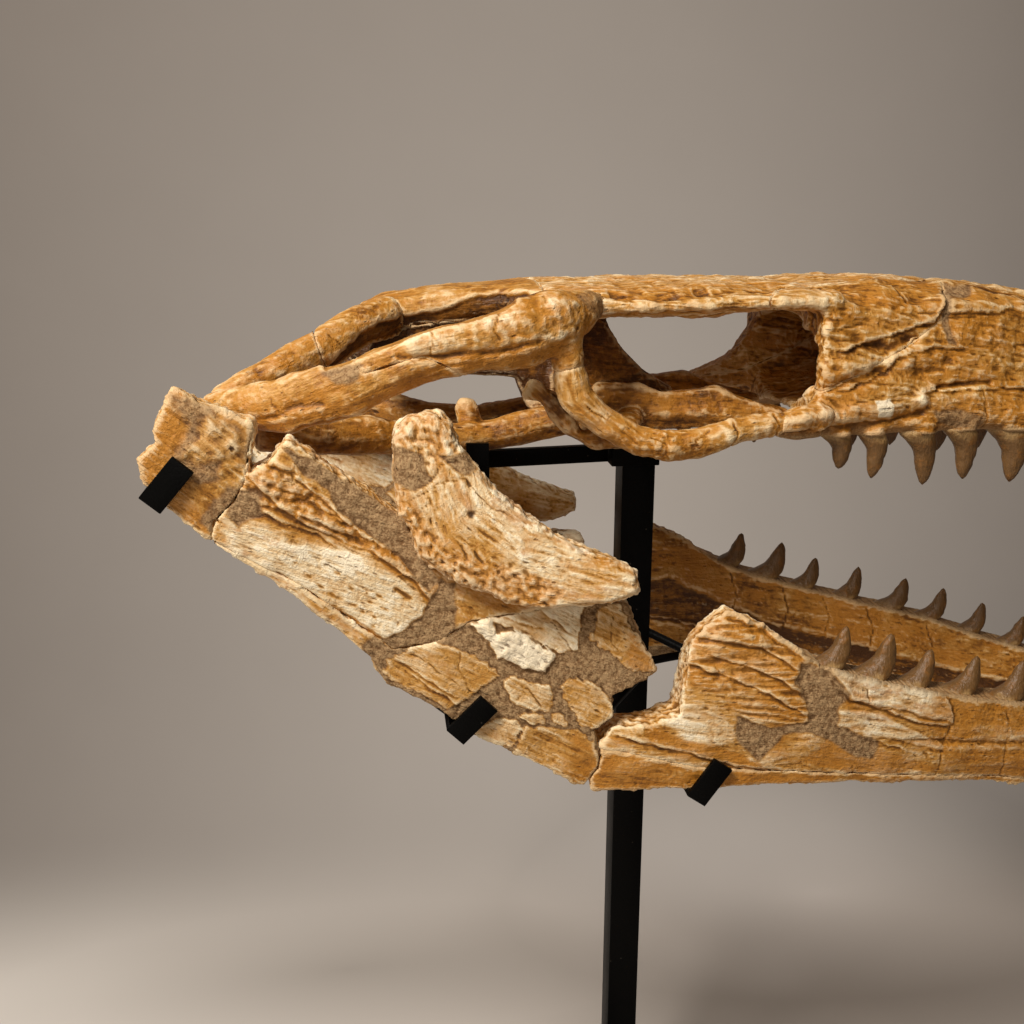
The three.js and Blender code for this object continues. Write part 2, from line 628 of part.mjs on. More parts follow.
const jawSides = {
  left: (solid) => warped(solid, settled),
  right: mirrored,
};
const jawBones = {};
Object.entries(jawSides).forEach(([side, onSide]) => {
  const saddle = side === 'left' ? coronoidSaddle.intersect(belowBreak) : coronoidSaddle;
  const jawCoronoid = bone(`coronoid_${side}`, onSide(saddle));
  const jawAngular = bone(`angular_${side}`, onSide(angular), jawCoronoid);
  jawBones[side] = [
    jawCoronoid,
    jawAngular,
    bone(`articular_${side}`, onSide(articular)),
    bone(`surangular_${side}`, onSide(surangular), jawCoronoid),
    bone(`splenial_${side}`, onSide(splenial), jawAngular),
    bone(`dentary_${side}`, onSide(dentary), jawAngular),
  ].map(raised);
});

const baseOutline = new THREE.Shape();
const [halfLength, halfWidth, cornerRadius] = [BASE.length / 2, BASE.width / 2, 8];
[[1, -1], [1, 1], [-1, 1], [-1, -1]].forEach(([sx, sy], quarter) => {
  baseOutline.absarc(
    sx * (halfLength - cornerRadius),
    sy * (halfWidth - cornerRadius),
    cornerRadius,
    (quarter - 1) * Math.PI / 2,
    quarter * Math.PI / 2,
  );
});
const basePlate = new THREE.ExtrudeGeometry(baseOutline, {
  depth: BASE.thickness - 2,
  bevelThickness: 1,
  bevelSize: 1,
  bevelOffset: -1,
  bevelSegments: 1,
  curveSegments: 1,
}).translate(BASE.centre, 0, 1);

const stand = (name, solid, ...earlier) => place(display, `stand_${name}`, solid, STEEL, earlier);
stand('base', solidOf(basePlate));
const FOOT = { size: 70, thickness: 6 };
const footTop = BASE.thickness + SUTURE + FOOT.thickness;
stand('foot', bar(
  [-FOOT.size / 2, 0, footTop - FOOT.thickness / 2],
  [FOOT.size / 2, 0, footTop - FOOT.thickness / 2],
  FOOT.size,
  FOOT.thickness,
));
const post = stand('post', bar([0, 0, footTop + SUTURE], [0.001, 0, postTop], POST, POST));
const COLLAR = { rear: -22, front: 15, width: 33, height: 16 };
const collarMiddle = postTop + COLLAR.height / 2 + SUTURE;
const collar = stand('collar', bar(
  [COLLAR.rear, 0, collarMiddle],
  [COLLAR.front, 0, collarMiddle],
  COLLAR.width,
  COLLAR.height,
));
stand('front_saddle', bar([-4, -52, postTop + 21.5], [-4, 52, postTop + 21.5], 14, 9), collar, ...held);
const arm = stand('arm', bar(
  [COLLAR.rear - SUTURE, 0, MOUTH_LINE - 26],
  [-119, -6, MOUTH_LINE - 27],
  8,
  13,
));
const tine = (y) => bar([-135, y, MOUTH_LINE - 20], [-119, y, MOUTH_LINE - 20], 4, 30);
stand('cradle', joined(
  bar([-127, -56, MOUTH_LINE - 28], [-127, 56, MOUTH_LINE - 28], 16, 13),
  ...[-52, -17, 17, 52].map(tine),
), arm, ...held);

const spines = {};
[['left', 1], ['right', -1]].forEach(([side, sign]) => {
  const jaw = jawBones[side];
  const onSide = side === 'left' ? (solid) => warped(solid, settled) : mirrored;
  const spine = stand(`spine_${side}`, raised(onSide(rod(SPINE, ROD, 12))), ...jaw);
  spines[side] = spine;
  Object.entries(CLIPS).forEach(([name, sizes]) => {
    stand(`clip_${name}_${side}`, raised(onSide(clip(sizes))), spine, ...jaw);
  });
  const braceEnd = side === 'left' ? [-66, 96, -250] : [-70, 96, -222];
  stand(`brace_${side}`, bar(
    above([-2, sign * (POST / 2 + SUTURE), -207]),
    above([braceEnd[0], sign * braceEnd[1], braceEnd[2]]),
    20,
    4,
  ), post, spine);
});
stand('cross_rod', rod([
  [12 + SUTURE, -8, -172], [50, -52, -181], [84, -92, -189], [90, -98, -196], [91, -98, -228],
].map(above), ROD - 1, 10), post, ...jawBones.right, spines.right);

export default display;
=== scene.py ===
# %% [markdown]
# # A fossil sea lizard's skull on a museum stand
#
# The object is a life-size skull of a mosasaur. Real fossil bone is stone that kept the bone's
# grain: pale smooth skin where the outer layer survives, ochre and orange where it has flaked, and
# grey-brown filler where a restorer closed the gaps. Black steel carries it.
#
# The frame gives every bone as a plain faceted solid in its true place. This lesson rounds those
# solids in a volume, turns them into fine meshes and then weathers each surface point by point.

import itertools
import math

import bmesh
import bpy
import numpy as np
import openvdb as vdb
from mathutils import Matrix, Vector


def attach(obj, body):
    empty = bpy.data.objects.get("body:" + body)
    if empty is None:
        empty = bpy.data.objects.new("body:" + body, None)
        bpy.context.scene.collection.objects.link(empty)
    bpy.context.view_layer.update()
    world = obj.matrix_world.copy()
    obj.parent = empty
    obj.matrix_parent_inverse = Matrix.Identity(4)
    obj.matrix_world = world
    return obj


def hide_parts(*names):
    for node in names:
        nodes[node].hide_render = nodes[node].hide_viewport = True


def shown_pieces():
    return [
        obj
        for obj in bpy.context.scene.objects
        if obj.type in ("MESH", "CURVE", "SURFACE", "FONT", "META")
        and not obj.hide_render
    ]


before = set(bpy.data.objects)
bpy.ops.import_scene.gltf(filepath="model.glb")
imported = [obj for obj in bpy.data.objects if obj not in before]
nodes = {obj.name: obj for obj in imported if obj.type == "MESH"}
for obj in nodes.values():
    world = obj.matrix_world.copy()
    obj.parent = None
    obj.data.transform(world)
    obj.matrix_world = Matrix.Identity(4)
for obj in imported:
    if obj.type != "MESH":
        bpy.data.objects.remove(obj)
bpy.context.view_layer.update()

# %% [markdown]
# ## Noise for shapes
# Nature's bumps are made from smooth random fields. `ripple` is gradient noise: every corner of a
# grid of cubes holds a random slope, and the value between corners is blended. `rough` adds finer
# and finer layers of it. `cells` scatters one point in each cube and tells how far the nearest two
# are, which gives pores, plates and the network of cracks between plates. All sizes are millimetres
# and all seeds are fixed, so each run gives the same skull.

# %% Noise
SHUFFLE = np.random.default_rng(11).permutation(256)
SLOPES = np.random.default_rng(12).normal(size=(256, 3)).astype(np.float32)
SLOPES /= np.linalg.norm(SLOPES, axis=1, keepdims=True)
SCATTER = np.random.default_rng(13).random((256, 3)).astype(np.float32)


def lattice(corner):
    """A random number from 0 to 255 for each corner of the grid."""
    x, y, z = (corner & 255).T
    return SHUFFLE[(SHUFFLE[(SHUFFLE[x] + y) & 255] + z) & 255]


def ripple(points, size, seed=0):
    """Smooth noise from about -1 to 1, with bumps about size wide."""
    place = points / np.float32(size) + np.float32([17.3, 5.1, 9.7]) * seed
    corner = np.floor(place).astype(np.int32)
    part = (place - corner).astype(np.float32)
    blend = part ** 3 * (part * (part * 6 - 15) + 10)
    total = np.zeros(len(points), np.float32)
    for step in itertools.product((0, 1), repeat=3):
        offset = np.array(step, np.int32)
        share = np.where(offset, blend, 1 - blend).prod(axis=1)
        total += share * (SLOPES[lattice(corner + offset)] * (part - offset)).sum(axis=1)
    return total * 1.6


def rough(points, size, seed=0, layers=3, fade=0.5):
    """Several layers of ripple, each half as wide as the one before."""
    total = sum(fade ** k * ripple(points, size / 2 ** k, seed + k) for k in range(layers))
    return total / sum(fade ** k for k in range(layers)) * 1.3


def cells(points, size, seed=0):
    """Distances to the nearest two scattered points, in cell sizes, and a random number per cell."""
    place = points / np.float32(size) + np.float32([3.7, 8.9, 1.3]) * seed
    corner = np.floor(place).astype(np.int32)
    first = np.full(len(points), 9, np.float32)
    second = first.copy()
    label = np.zeros(len(points), np.int64)
    for step in itertools.product((-1, 0, 1), repeat=3):
        spot = corner + np.array(step, np.int32)
        mark = lattice(spot)
        away = np.linalg.norm(spot + SCATTER[mark] - place, axis=1).astype(np.float32)
        nearer = away < first
        second = np.where(nearer, first, np.minimum(second, away))
        label = np.where(nearer, mark, label)
        first = np.where(nearer, away, first)
    return first, second, SCATTER[(label * 7 + 3) & 255, 0]


def step_up(low, high, values):
    """0 below low, 1 above high and a soft step between."""
    part = np.clip((values - low) / (high - low), 0, 1)
    return part * part * (3 - 2 * part)


trial = np.random.default_rng(1).random((1000, 3)).astype(np.float32) * 100
print("ripple spans", ripple(trial, 10).min().round(2), "to", ripple(trial, 10).max().round(2))

# %% [markdown]
# ## Bones in a volume
# A faceted solid turns round and organic most evenly in a volume. OpenVDB fills a grid of small
# cubes with the distance to the solid's surface, a blur of those numbers rounds every edge at once,
# and the surface is where they cross zero. A subdivision surface would pinch at the many-sided
# joints that the solids have.

# %% Distance grids
VOXEL = 1.3      # size of a cube of the grid, in mm
BAND = 6                                # cubes on each side of a surface that hold its distance


def shell(name):
    """A solid's corner points in mm and its triangles, with shared corners merged."""
    mesh = nodes[name].data
    mesh.calc_loop_triangles()
    places = np.empty(len(mesh.vertices) * 3, np.float32)
    mesh.vertices.foreach_get("co", places)
    corners = np.empty(len(mesh.loop_triangles) * 3, np.int32)
    mesh.loop_triangles.foreach_get("vertices", corners)
    places, shared = np.unique(places.reshape(-1, 3).round(6), axis=0, return_inverse=True)
    return places * 1000, shared.reshape(-1)[corners].reshape(-1, 3).astype(np.uint32)


def distances(name, voxel):
    """The distance to a solid's surface, negative inside, and the grid place of the first cube."""
    points, triangles = shell(name)
    grid = vdb.FloatGrid.createLevelSetFromPolygons(
        points=points, triangles=triangles,
        transform=vdb.createLinearTransform(voxelSize=voxel), halfWidth=BAND)
    low, high = grid.evalActiveVoxelBoundingBox()
    values = np.empty([b - a + 1 for a, b in zip(low, high)], np.float32)
    grid.copyToArray(values, ijk=low)
    return values, np.array(low)


def blurred(values, width):
    """A volume blurred by width, in cubes, along each axis."""
    reach = max(1, math.ceil(2.2 * width))          # past 2.2 widths a weight is next to nothing
    weights = np.exp(-0.5 * (np.arange(-reach, reach + 1) / width) ** 2)
    weights /= weights.sum()
    for axis in range(3):
        padded = np.moveaxis(np.pad(values, [(reach, reach) if a == axis else (0, 0) for a in range(3)],
                                    mode="edge"), axis, 0)
        length = values.shape[axis]
        total = sum(np.float32(w) * padded[k:k + length] for k, w in enumerate(weights))
        values = np.moveaxis(total, 0, axis)
    return values


def meshed(values, low, voxel):
    """Points in mm and four-sided faces of the surface where a volume crosses zero."""
    grid = vdb.FloatGrid(float(BAND * voxel))
    grid.transform = vdb.createLinearTransform(voxelSize=voxel)
    grid.copyFromArray(np.ascontiguousarray(values, np.float32), ijk=[int(v) for v in low])
    points, _, faces = grid.convertToPolygons(isovalue=0.0, adaptivity=0.0)
    points, faces = np.asarray(points, np.float32), np.asarray(faces, np.int64)
    # Points joined by faces end up with one label, and only the largest piece is kept.
    label = np.arange(len(points))
    ends = [(faces[:, i], faces[:, (i + 1) % 4]) for i in range(4)]
    while True:
        before = label.copy()
        for a, b in ends:
            lower = np.minimum(label[a], label[b])
            np.minimum.at(label, a, lower)
            np.minimum.at(label, b, lower)
        label = label[label]
        if (label == before).all():
            break
    keep = label == np.bincount(label).argmax()
    renumber = np.cumsum(keep) - 1
    faces = renumber[faces[keep[faces[:, 0]]]]
    points = points[keep]
    a, b, c, d = (points[faces[:, i]] for i in range(4))
    volume = (np.cross(c - a, d - b) * (a + b + c + d)).sum()
    return points, faces if volume > 0 else faces[:, ::-1]


print("the frontal bone's solid has", len(shell("frontal")[0]), "corners")

# %% [markdown]
# ## Rounding the bones together
# Bones that touch go into one volume, and each cube remembers whose it is. Growing them all a little
# closes the hair-thin sutures, and the blur then rounds the whole. After it a bone takes back its
# own share, which ends half way to its nearest neighbour. It is let past the middle by a hair, so
# that no light shows through a suture. The points deep in the joined bones are the suture's walls.

# %% Rounding together
MOUTH = 710.0                           # height of the upper tooth margin above the floor, in mm
FILL = 0.35                             # how much the bones grow before the blur, in mm
REGROW = 0.3                            # what the blur wears off a bar and it is given back, in mm
SUTURE = 0.08                           # how far each bone passes the middle of a suture, in mm


def rounded_bones(names, voxel, soften, trim):
    """Each bone's points, faces and suture walls, rounded with its neighbours and parted again."""
    fields = {name: distances(name, voxel) for name in names}
    low = np.min([corner for _, corner in fields.values()], axis=0) - 2
    high = np.max([corner + values.shape for values, corner in fields.values()], axis=0) + 2
    nearest = np.full(high - low, BAND * voxel, np.float32)
    second = nearest.copy()
    owner = np.full(nearest.shape, -1, np.int8)
    blocks = {}
    for number, (name, (values, corner)) in enumerate(fields.items()):
        block = tuple(slice(c, c + n) for c, n in zip(corner - low, values.shape))
        blocks[name] = block
        near = nearest[block].copy()
        closer = values < near
        second[block] = np.where(closer, near, np.minimum(second[block], values))
        nearest[block] = np.where(closer, values, near)
        owner[block][closer] = number
    whole = blurred(nearest - FILL, soften / voxel) - REGROW
    bones = {}
    for number, (name, (values, corner)) in enumerate(fields.items()):
        block = blocks[name]
        others = np.where(owner[block] == number, second[block], nearest[block])
        field = np.maximum(whole[block], 0.5 * (values - others) - SUTURE)
        if trim is not None:
            x = (corner[0] + np.arange(values.shape[0]))[:, None, None] * voxel
            z = (corner[2] + np.arange(values.shape[2]))[None, None, :] * voxel - MOUTH
            field = np.maximum(field, trim(name, x, z))
        points, faces = meshed(field, corner, voxel)
        spot = np.clip(np.rint(points / voxel).astype(int) - corner, 0, np.array(values.shape) - 1)
        depth = -whole[block][tuple(spot.T)]        # how far inside the joined bones a point lies
        bones[name] = points, faces, step_up(0.6, 2.2, depth)
    return bones


print("cubes of", VOXEL, "mm, and sutures that close by", 2 * SUTURE, "mm")

# %% [markdown]
# ## Skins
# Each bone becomes a dictionary of arrays, one entry per surface point: where it is, which way it
# faces, how far it will be pushed out (rise), and how pale (cream), filled, stained or dark (gap)
# it is. Its grain gives every point a place along and across the bone's fibres, so that a noise
# read on the grain comes out as long streaks.

# %% Skins
def facings(points, faces):
    """The outward direction at each point, weighted by the area round it."""
    a, b, c, d = (points[faces[:, i]] for i in range(4))
    normal = np.cross(c - a, d - b)
    total = np.stack([
        np.bincount(faces.reshape(-1), np.repeat(normal[:, k], 4), len(points)) for k in range(3)
    ], axis=1)
    return (total / (np.linalg.norm(total, axis=1, keepdims=True) + 1e-9)).astype(np.float32)


def near_line(x, z, line):
    """Distance from each point to a line of points, how far along it is, and its signed side."""
    best = np.full(len(x), 1e9, np.float32)
    along, side = np.zeros(len(x), np.float32), np.zeros(len(x), np.float32)
    start = 0.0
    last = len(line) - 2
    for number, ((x0, z0), (x1, z1)) in enumerate(zip(line, line[1:])):
        length = math.hypot(x1 - x0, z1 - z0)
        ux, uz = (x1 - x0) / length, (z1 - z0) / length
        run = (x - x0) * ux + (z - z0) * uz
        inside = np.clip(run, 0, length)
        away = np.hypot(x - x0 - inside * ux, z - z0 - inside * uz)
        free = np.where(((number == 0) & (run < 0)) | ((number == last) & (run > length)), run, inside)
        closer = away < best
        best = np.where(closer, away, best)
        along = np.where(closer, start + free, along)
        side = np.where(closer, (z - z0) * ux - (x - x0) * uz, side)
        start += length
    return best, along, side


def new_skin(points, faces, side, line, stretch=6.0):
    """The working arrays of one bone. Its grain follows the line, and side is the face that shows."""
    out = facings(points, faces)
    x, z = points[:, 0], points[:, 2] - MOUTH
    _, along, across = near_line(x, z, line)
    grain = np.stack([along / stretch, points[:, 1], across], axis=1).astype(np.float32)
    zero = np.zeros(len(points), np.float32)
    return {
        "at": points, "x": x, "z": z, "out": out, "grain": grain,
        "seen": step_up(-0.1, 0.35, out[:, 1] * side),
        "rise": zero.copy(), "cream": zero.copy(), "filler": zero.copy(),
        "stain": zero.copy(), "gap": zero.copy(),
    }


def wobble(skin, size, amount, seed):
    """The side view's x and z, shifted about, so that drawn lines come out natural."""
    return (skin["x"] + amount * ripple(skin["at"], size, seed),
            skin["z"] + amount * ripple(skin["at"], size, seed + 5))


def add_to(skin, mask, **amounts):
    """Adds an amount to each of the arrays named, wherever the mask is."""
    for key, amount in amounts.items():
        skin[key] += amount * mask


over, on, _ = near_line(np.float32([60]), np.float32([5]), [(0, 0), (120, 0)])
print("a point beside a line is", over[0], "mm away from it and", on[0], "mm along it")

# %% [markdown]
# ## Marks that cover a bone
# Weathering is many small things at once: soft bumps, raised threads, layers that broke off in
# steps, curled flakes, the pores of blood vessels and drying cracks. Each has a function that takes
# the size of the mark and its height in mm, and a seed. A high spot is also painted paler.

# %% Marks that cover a bone
def bumps(skin, size, height, seed, layers=2):
    """Soft swellings."""
    skin["rise"] += height * rough(skin["at"], size, seed, layers)


def fibres(skin, size, height, seed):
    """Fine raised threads along the grain."""
    threads = 1 - 2 * np.abs(ripple(skin["grain"], size, seed))
    add_to(skin, threads, rise=height, cream=0.07)


def flakes(skin, size, height, steps, seed, pale):
    """Broken layers along the grain: flat tops, sharp little steps, paler where higher."""
    level = (rough(skin["grain"], size, seed, 3) * 0.9 + 1) / 2 * steps
    whole = np.floor(level)
    stair = (whole + step_up(0.38, 0.62, level - whole)) / steps
    add_to(skin, stair - 0.5, rise=height, cream=pale)
    edge = 1 - np.abs(level - whole - 0.42) / 0.12
    skin["gap"] += 0.10 * np.clip(edge, 0, 1) * step_up(0, 0.5, ripple(skin["at"], 22, seed + 8))


def crumble(skin, size, height, seed):
    """Curled little ridges and hollows, as where the outer layer has flaked away."""
    curl = skin["at"] + 0.7 * size * np.stack(
        [ripple(skin["at"], size * 1.3, seed + k) for k in range(3)], axis=1)
    ridges = 0.6 - 1.6 * np.abs(ripple(curl, size, seed + 4))
    where = step_up(-0.5, 0.35, ripple(skin["at"], size * 6, seed + 6))
    skin["rise"] += height * ridges * (0.35 + 0.65 * where)


def pores(skin, size, share, depth, seed):
    """Small long holes in some of the cells of a scatter."""
    first, _, label = cells(skin["grain"] * np.float32([2.2, 1, 1]), size, seed)
    hole = (1 - step_up(0.08, 0.24, first)) * (label < share)
    add_to(skin, hole, rise=-depth, gap=0.6)


def cracks(skin, size, share, depth, seed):
    """Breaks between the cells of a coarse scatter, kept only here and there."""
    warped = skin["grain"] * np.float32([3.2, 1, 1]) + 0.12 * size * np.stack(
        [ripple(skin["at"], 7, seed + k) for k in range(3)], axis=1)
    first, second, _ = cells(warped, size, seed)
    line = 1 - step_up(0.0, 0.05, second - first)
    line *= step_up(-share, 0.25 - share, ripple(skin["at"], size * 1.4, seed + 9) - 0.35)
    line *= step_up(-0.4, 0.5, ripple(skin["at"], 6, seed + 11))
    add_to(skin, line, rise=-depth, gap=0.5)


print("flakes have steps at", [round(float(step_up(0.38, 0.62, v)), 2) for v in (0.4, 0.5, 0.6)])

# %% [markdown]
# ## Marks drawn in one place
# A mark that belongs to one place is given as a few points of a line or an outline, seen from the
# side: x along the skull and z above the mouth line, in mm. It is only made on the side that the
# bone shows. A little noise shifts each drawn line about, so that it comes out natural.

# %% Marks drawn in one place
def crack(skin, line, depth, width, seed):
    """One drawn break."""
    x, z = wobble(skin, 7, 1.3, seed)
    away, _, _ = near_line(x, z, line)
    strength = skin["seen"] * (0.55 + 0.45 * ripple(skin["at"], 9, seed + 3))
    cut = np.exp(-(away / (0.75 * width)) ** 2) * strength
    add_to(skin, cut, rise=-depth, gap=0.8)


def breaks(skin, depth, width, seed, lines):
    """Several drawn breaks of one kind."""
    for number, line in enumerate(lines):
        crack(skin, line, depth, width, seed + number)


def length_of(line):
    return sum(math.dist(a, b) for a, b in zip(line, line[1:]))


def stroke(skin, line, height, width, seed, tint):
    """A soft ridge along a line, or a groove where the height is negative."""
    x, z = wobble(skin, 12, 2.0, seed)
    away, along, _ = near_line(x, z, line)
    body = np.exp(-(away / width) ** 2) * skin["seen"]
    body *= step_up(-width, width, along) * step_up(-width, width, length_of(line) - along)
    body *= 1 + 0.5 * ripple(skin["at"], 11, seed + 4)
    add_to(skin, body, rise=height, cream=tint)


def strokes(skin, seed, table):
    """Several strokes, each given with its height, width and tint."""
    for number, (line, height, width, tint) in enumerate(table):
        stroke(skin, line, height, width, seed + 3 * number, tint)


def ledge(skin, line, height, reach, seed, ends=8.0):
    """A broken edge along a line: raised on its left with a painted highlight, hollow on its right with
    painted shade.
    """
    x, z = wobble(skin, 9, 1.6, seed)
    away, along, side = near_line(x, z, line)
    strength = step_up(-ends, ends, along) * step_up(-ends, ends, length_of(line) - along) * skin["seen"]
    strength *= 0.8 + 0.6 * ripple(skin["at"], 14, seed + 4)
    up = np.exp(-away / reach) * step_up(-0.8, 0.8, side)
    down = np.exp(-away / (0.45 * reach)) * (1 - step_up(-0.8, 0.8, side))
    skin["rise"] += strength * (height * up - 0.6 * height * down)
    # The cream paints a highlight on the raised edge and shade in the hollow, and the gap paints a dark
    # shadow line under the edge.
    skin["cream"] += strength * (0.14 * np.exp(-away / 2.5) * (side > 0) - 0.4 * down)
    skin["gap"] += 0.40 * strength * np.exp(-away / 1.8) * (side < 0)


def ledges(skin, height, reach, seed, lines):
    """Several broken edges of one kind."""
    for number, line in enumerate(lines):
        ledge(skin, line, height, reach, seed + number)


def depth_in(skin, outline, seed, wild, size):
    """How deep each point lies inside an outline with a slightly wild border, negative outside."""
    x, z = wobble(skin, size, wild, seed)
    closed = list(outline) + [outline[0]]
    away, _, _ = near_line(x, z, closed)
    inside = np.zeros(len(x), bool)
    for (x0, z0), (x1, z1) in zip(closed, closed[1:]):
        crosses = (z0 > z) != (z1 > z)
        inside ^= crosses & (x < x0 + (z - z0) * (x1 - x0) / (z1 - z0 + 1e-9))
    return np.where(inside, away, -away)


def patch(skin, outline, soft, seed, wild=1.6, size=8.0):
    """1 inside an outline, 0 outside, on the side that shows."""
    return step_up(-soft, soft, depth_in(skin, outline, seed, wild, size)) * skin["seen"]


print("a line round a 10 mm square is", length_of([(0, 0), (10, 0), (10, 10), (0, 10), (0, 0)]), "mm long")

# %% [markdown]
# ## Filler and fragments
# Crushed bone was put together again from fragments, with filler in the gaps. Fragments can be
# drawn one by one, or come from the cells of a scatter where no single one matters.

# %% Filler and fragments
def fill_in(skin, mask, seed, sink=0.7):
    """Restorer's filler: a little lower than the bone, stippled, with no grain of its own."""
    stipple = rough(skin["at"], 4.0, seed, 2) + 0.8 * rough(skin["at"], 14.0, seed + 1, 2)
    skin["rise"] = skin["rise"] * (1 - 0.6 * mask) + mask * (0.75 * stipple - 0.6 * sink)
    skin["cream"] *= 1 - 0.7 * mask
    skin["stain"] *= 1 - mask
    skin["gap"] = skin["gap"] * (1 - mask) + mask * 0.35 * step_up(0.15, 0.7, -stipple)
    skin["filler"] = np.maximum(skin["filler"], mask)


def plates(skin, zone, outlines, seam, seed, tones):
    """Bone fragments set in filler: everything in the zone that no fragment covers is filler."""
    cover = np.zeros_like(zone)
    rim = np.zeros_like(zone)
    for number, (outline, tone) in enumerate(zip(outlines, tones)):
        depth = depth_in(skin, outline, seed + number, 2.0, 5.0)
        mask = step_up(-0.4, 0.4, depth) * skin["seen"]
        skin["cream"] = np.where(mask > 0.5, skin["cream"] * 0.8 + tone * 0.30, skin["cream"])
        cover = np.maximum(cover, mask)
        rim = np.maximum(rim, np.exp(-((depth + 0.2) / seam) ** 2) * skin["seen"])
    fill_in(skin, zone * (1 - cover), seed + 40)
    skin["rise"] += 0.2 * cover * zone
    skin["rise"] -= 0.3 * rim * zone
    skin["gap"] += 0.25 * rim * zone


def mosaic(skin, size, seam, seed, share=0.75):
    """Crushed bone: fragments of many tones, with filler between them in a share of the places."""
    place = skin["at"] * np.float32([1, 1.4, 1.3]) + 0.22 * size * np.stack(
        [ripple(skin["at"], size * 0.6, seed + k) for k in range(3)], axis=1)
    first, second, label = cells(place, size, seed)
    missing = (label > share) * 1.0
    mask = np.maximum(1 - step_up(seam * 0.5, seam, second - first), missing)
    skin["cream"] += 0.5 * (label / share - 0.5) * (1 - mask)
    fill_in(skin, mask, seed + 6, sink=0.5)


print("of a scatter's fragments,", round(float((cells(trial, 10)[2] < 0.75).mean()), 2), "are kept")

# %% [markdown]
# ## Which way the grain runs
# Bone is laid down in fibres that follow the length of each bone, and it breaks and flakes along
# them. Every bone therefore gets a line to follow, again seen from the side.

# %% Grain
LONG_ROOF = [(-60, 98), (111, 86), (300, 58), (600, 8)]
ARCH_LINE = [(-320, 26), (-254, 36), (-175, 66), (-82, 86), (-40, 98), (80, 102)]
GRAIN = {
    "frontal": [(-90, 99), (215, 92)], "premaxilla": LONG_ROOF, "maxilla": LONG_ROOF,
    "prefrontal": LONG_ROOF, "parietal": [(-204, 80), (-70, 96)],
    "parietal_ramus": [(-310, 32), (-232, 66), (-184, 84), (-100, 98)],
    "supratemporal": [(-320, 26), (-232, 66)],
    "postorbitofrontal": ARCH_LINE, "squamosal": ARCH_LINE,
    "jugal": [(-74, 70), (-67, 36), (-49, 20), (-24, 5), (0, 1), (48, 9), (94, 13)],
    "pterygoid": [(-276, 11), (-125, -5), (-40, 12), (106, 6)],
    "ectopterygoid": [(-95, 38), (-60, 5), (-16, 2)],
    "braincase": [(-204, 60), (30, 30)],
    "coronoid": [(-166, 34), (-158, 2), (-146, -34), (-111, -60), (-30, -80)],
    "articular": [(-330, 20), (-270, -30)],
    "surangular": [(-310, -30), (-160, -95), (0, -170)],
    "angular": [(-320, -45), (-190, -140), (-40, -222)],
    "dentary": [(-60, -185), (100, -200), (300, -240), (585, -290)],
    "splenial": [(-80, -225), (120, -245), (300, -290)],
}
print(len(GRAIN), "grain lines")

# %% [markdown]
# ## How each kind of bone has weathered
# The snout and skull roof are rugged, the bars round the openings are smooth and gently fibrous, and
# the thin plates of the lower jaw are crushed, flaked and pitted. Each kind is a stack of the marks
# above. The number given last is a seed. Bones that were rounded together share one, so that their
# texture runs on from bone to bone across the sutures.

# %% Weathering by kind
def rugged(skin, seed):
    """Heavy bone, split into long ledges."""
    bumps(skin, 42, 2.4, seed)
    bumps(skin, 15, 1.5, seed + 1)
    flakes(skin, 15, 2.4, 4, seed + 2, pale=0.24)
    flakes(skin, 6, 0.9, 3, seed + 3, pale=0.12)
    crumble(skin, 6, 0.6, seed + 4)
    fibres(skin, 3.5, 0.25, seed + 9)
    cracks(skin, 30, -0.05, 0.9, seed + 5)
    pores(skin, 7, 0.12, 0.8, seed + 6)
    skin["cream"] += 0.47 + 0.20 * rough(skin["at"], 30, seed + 8)
    skin["stain"] += 0.40 + 0.45 * rough(skin["grain"], 15, seed + 7)


def barred(skin, seed):
    """Slender bars, smooth and fibrous."""
    bumps(skin, 30, 1.6, seed)
    bumps(skin, 11, 0.7, seed + 1)
    flakes(skin, 13, 1.2, 4, seed + 2, pale=0.20)
    flakes(skin, 5, 0.25, 3, seed + 9, pale=0.06)
    crumble(skin, 5, 0.25, seed + 3)
    fibres(skin, 3.5, 0.10, seed + 10)
    cracks(skin, 22, 0.02, 0.8, seed + 4)
    pores(skin, 7, 0.10, 0.7, seed + 5)
    skin["cream"] += 0.44 + 0.26 * rough(skin["at"], 26, seed + 8)
    skin["stain"] += 0.38 + 0.45 * rough(skin["grain"], 13, seed + 6)


def plated(skin, seed):
    """Thin plates, flaked and pitted, with ragged edges."""
    rim = 1 - step_up(0.35, 0.8, np.abs(skin["out"][:, 1]))      # the broken edges of a thin plate
    ragged = 2.0 * rough(skin["at"], 11, seed + 30, 2) + 1.2 * rough(skin["at"], 4, seed + 31, 2)
    skin["rise"] += rim * ragged
    skin["cream"] += 0.12 * rim
    bumps(skin, 34, 1.5, seed)
    flakes(skin, 10, 1.2, 4, seed + 1, pale=0.24)
    flakes(skin, 4, 0.3, 3, seed + 2, pale=0.08)
    crumble(skin, 5, 0.35, seed + 3)
    fibres(skin, 3.0, 0.15, seed + 4)
    pores(skin, 5.5, 0.10, 0.6, seed + 5)
    cracks(skin, 24, -0.05, 0.8, seed + 6)
    skin["cream"] += 0.54 + 0.22 * rough(skin["at"], 30, seed + 7)
    skin["stain"] += (0.28 + 0.5 * rough(skin["grain"], 16, seed + 8)
                      + 0.3 * rough(skin["grain"], 5, seed + 9))


def buried(skin, seed):
    """Bone deep inside, coloured darker as painted shade."""
    bumps(skin, 26, 1.3, seed)
    flakes(skin, 11, 1.0, 3, seed + 1, pale=0.15)
    crumble(skin, 6, 0.6, seed + 2)
    cracks(skin, 22, 0.0, 0.8, seed + 3)
    skin["cream"] += 0.26 + 0.2 * rough(skin["at"], 26, seed + 4)
    skin["stain"] += 0.2 + 0.4 * rough(skin["at"], 30, seed + 5)


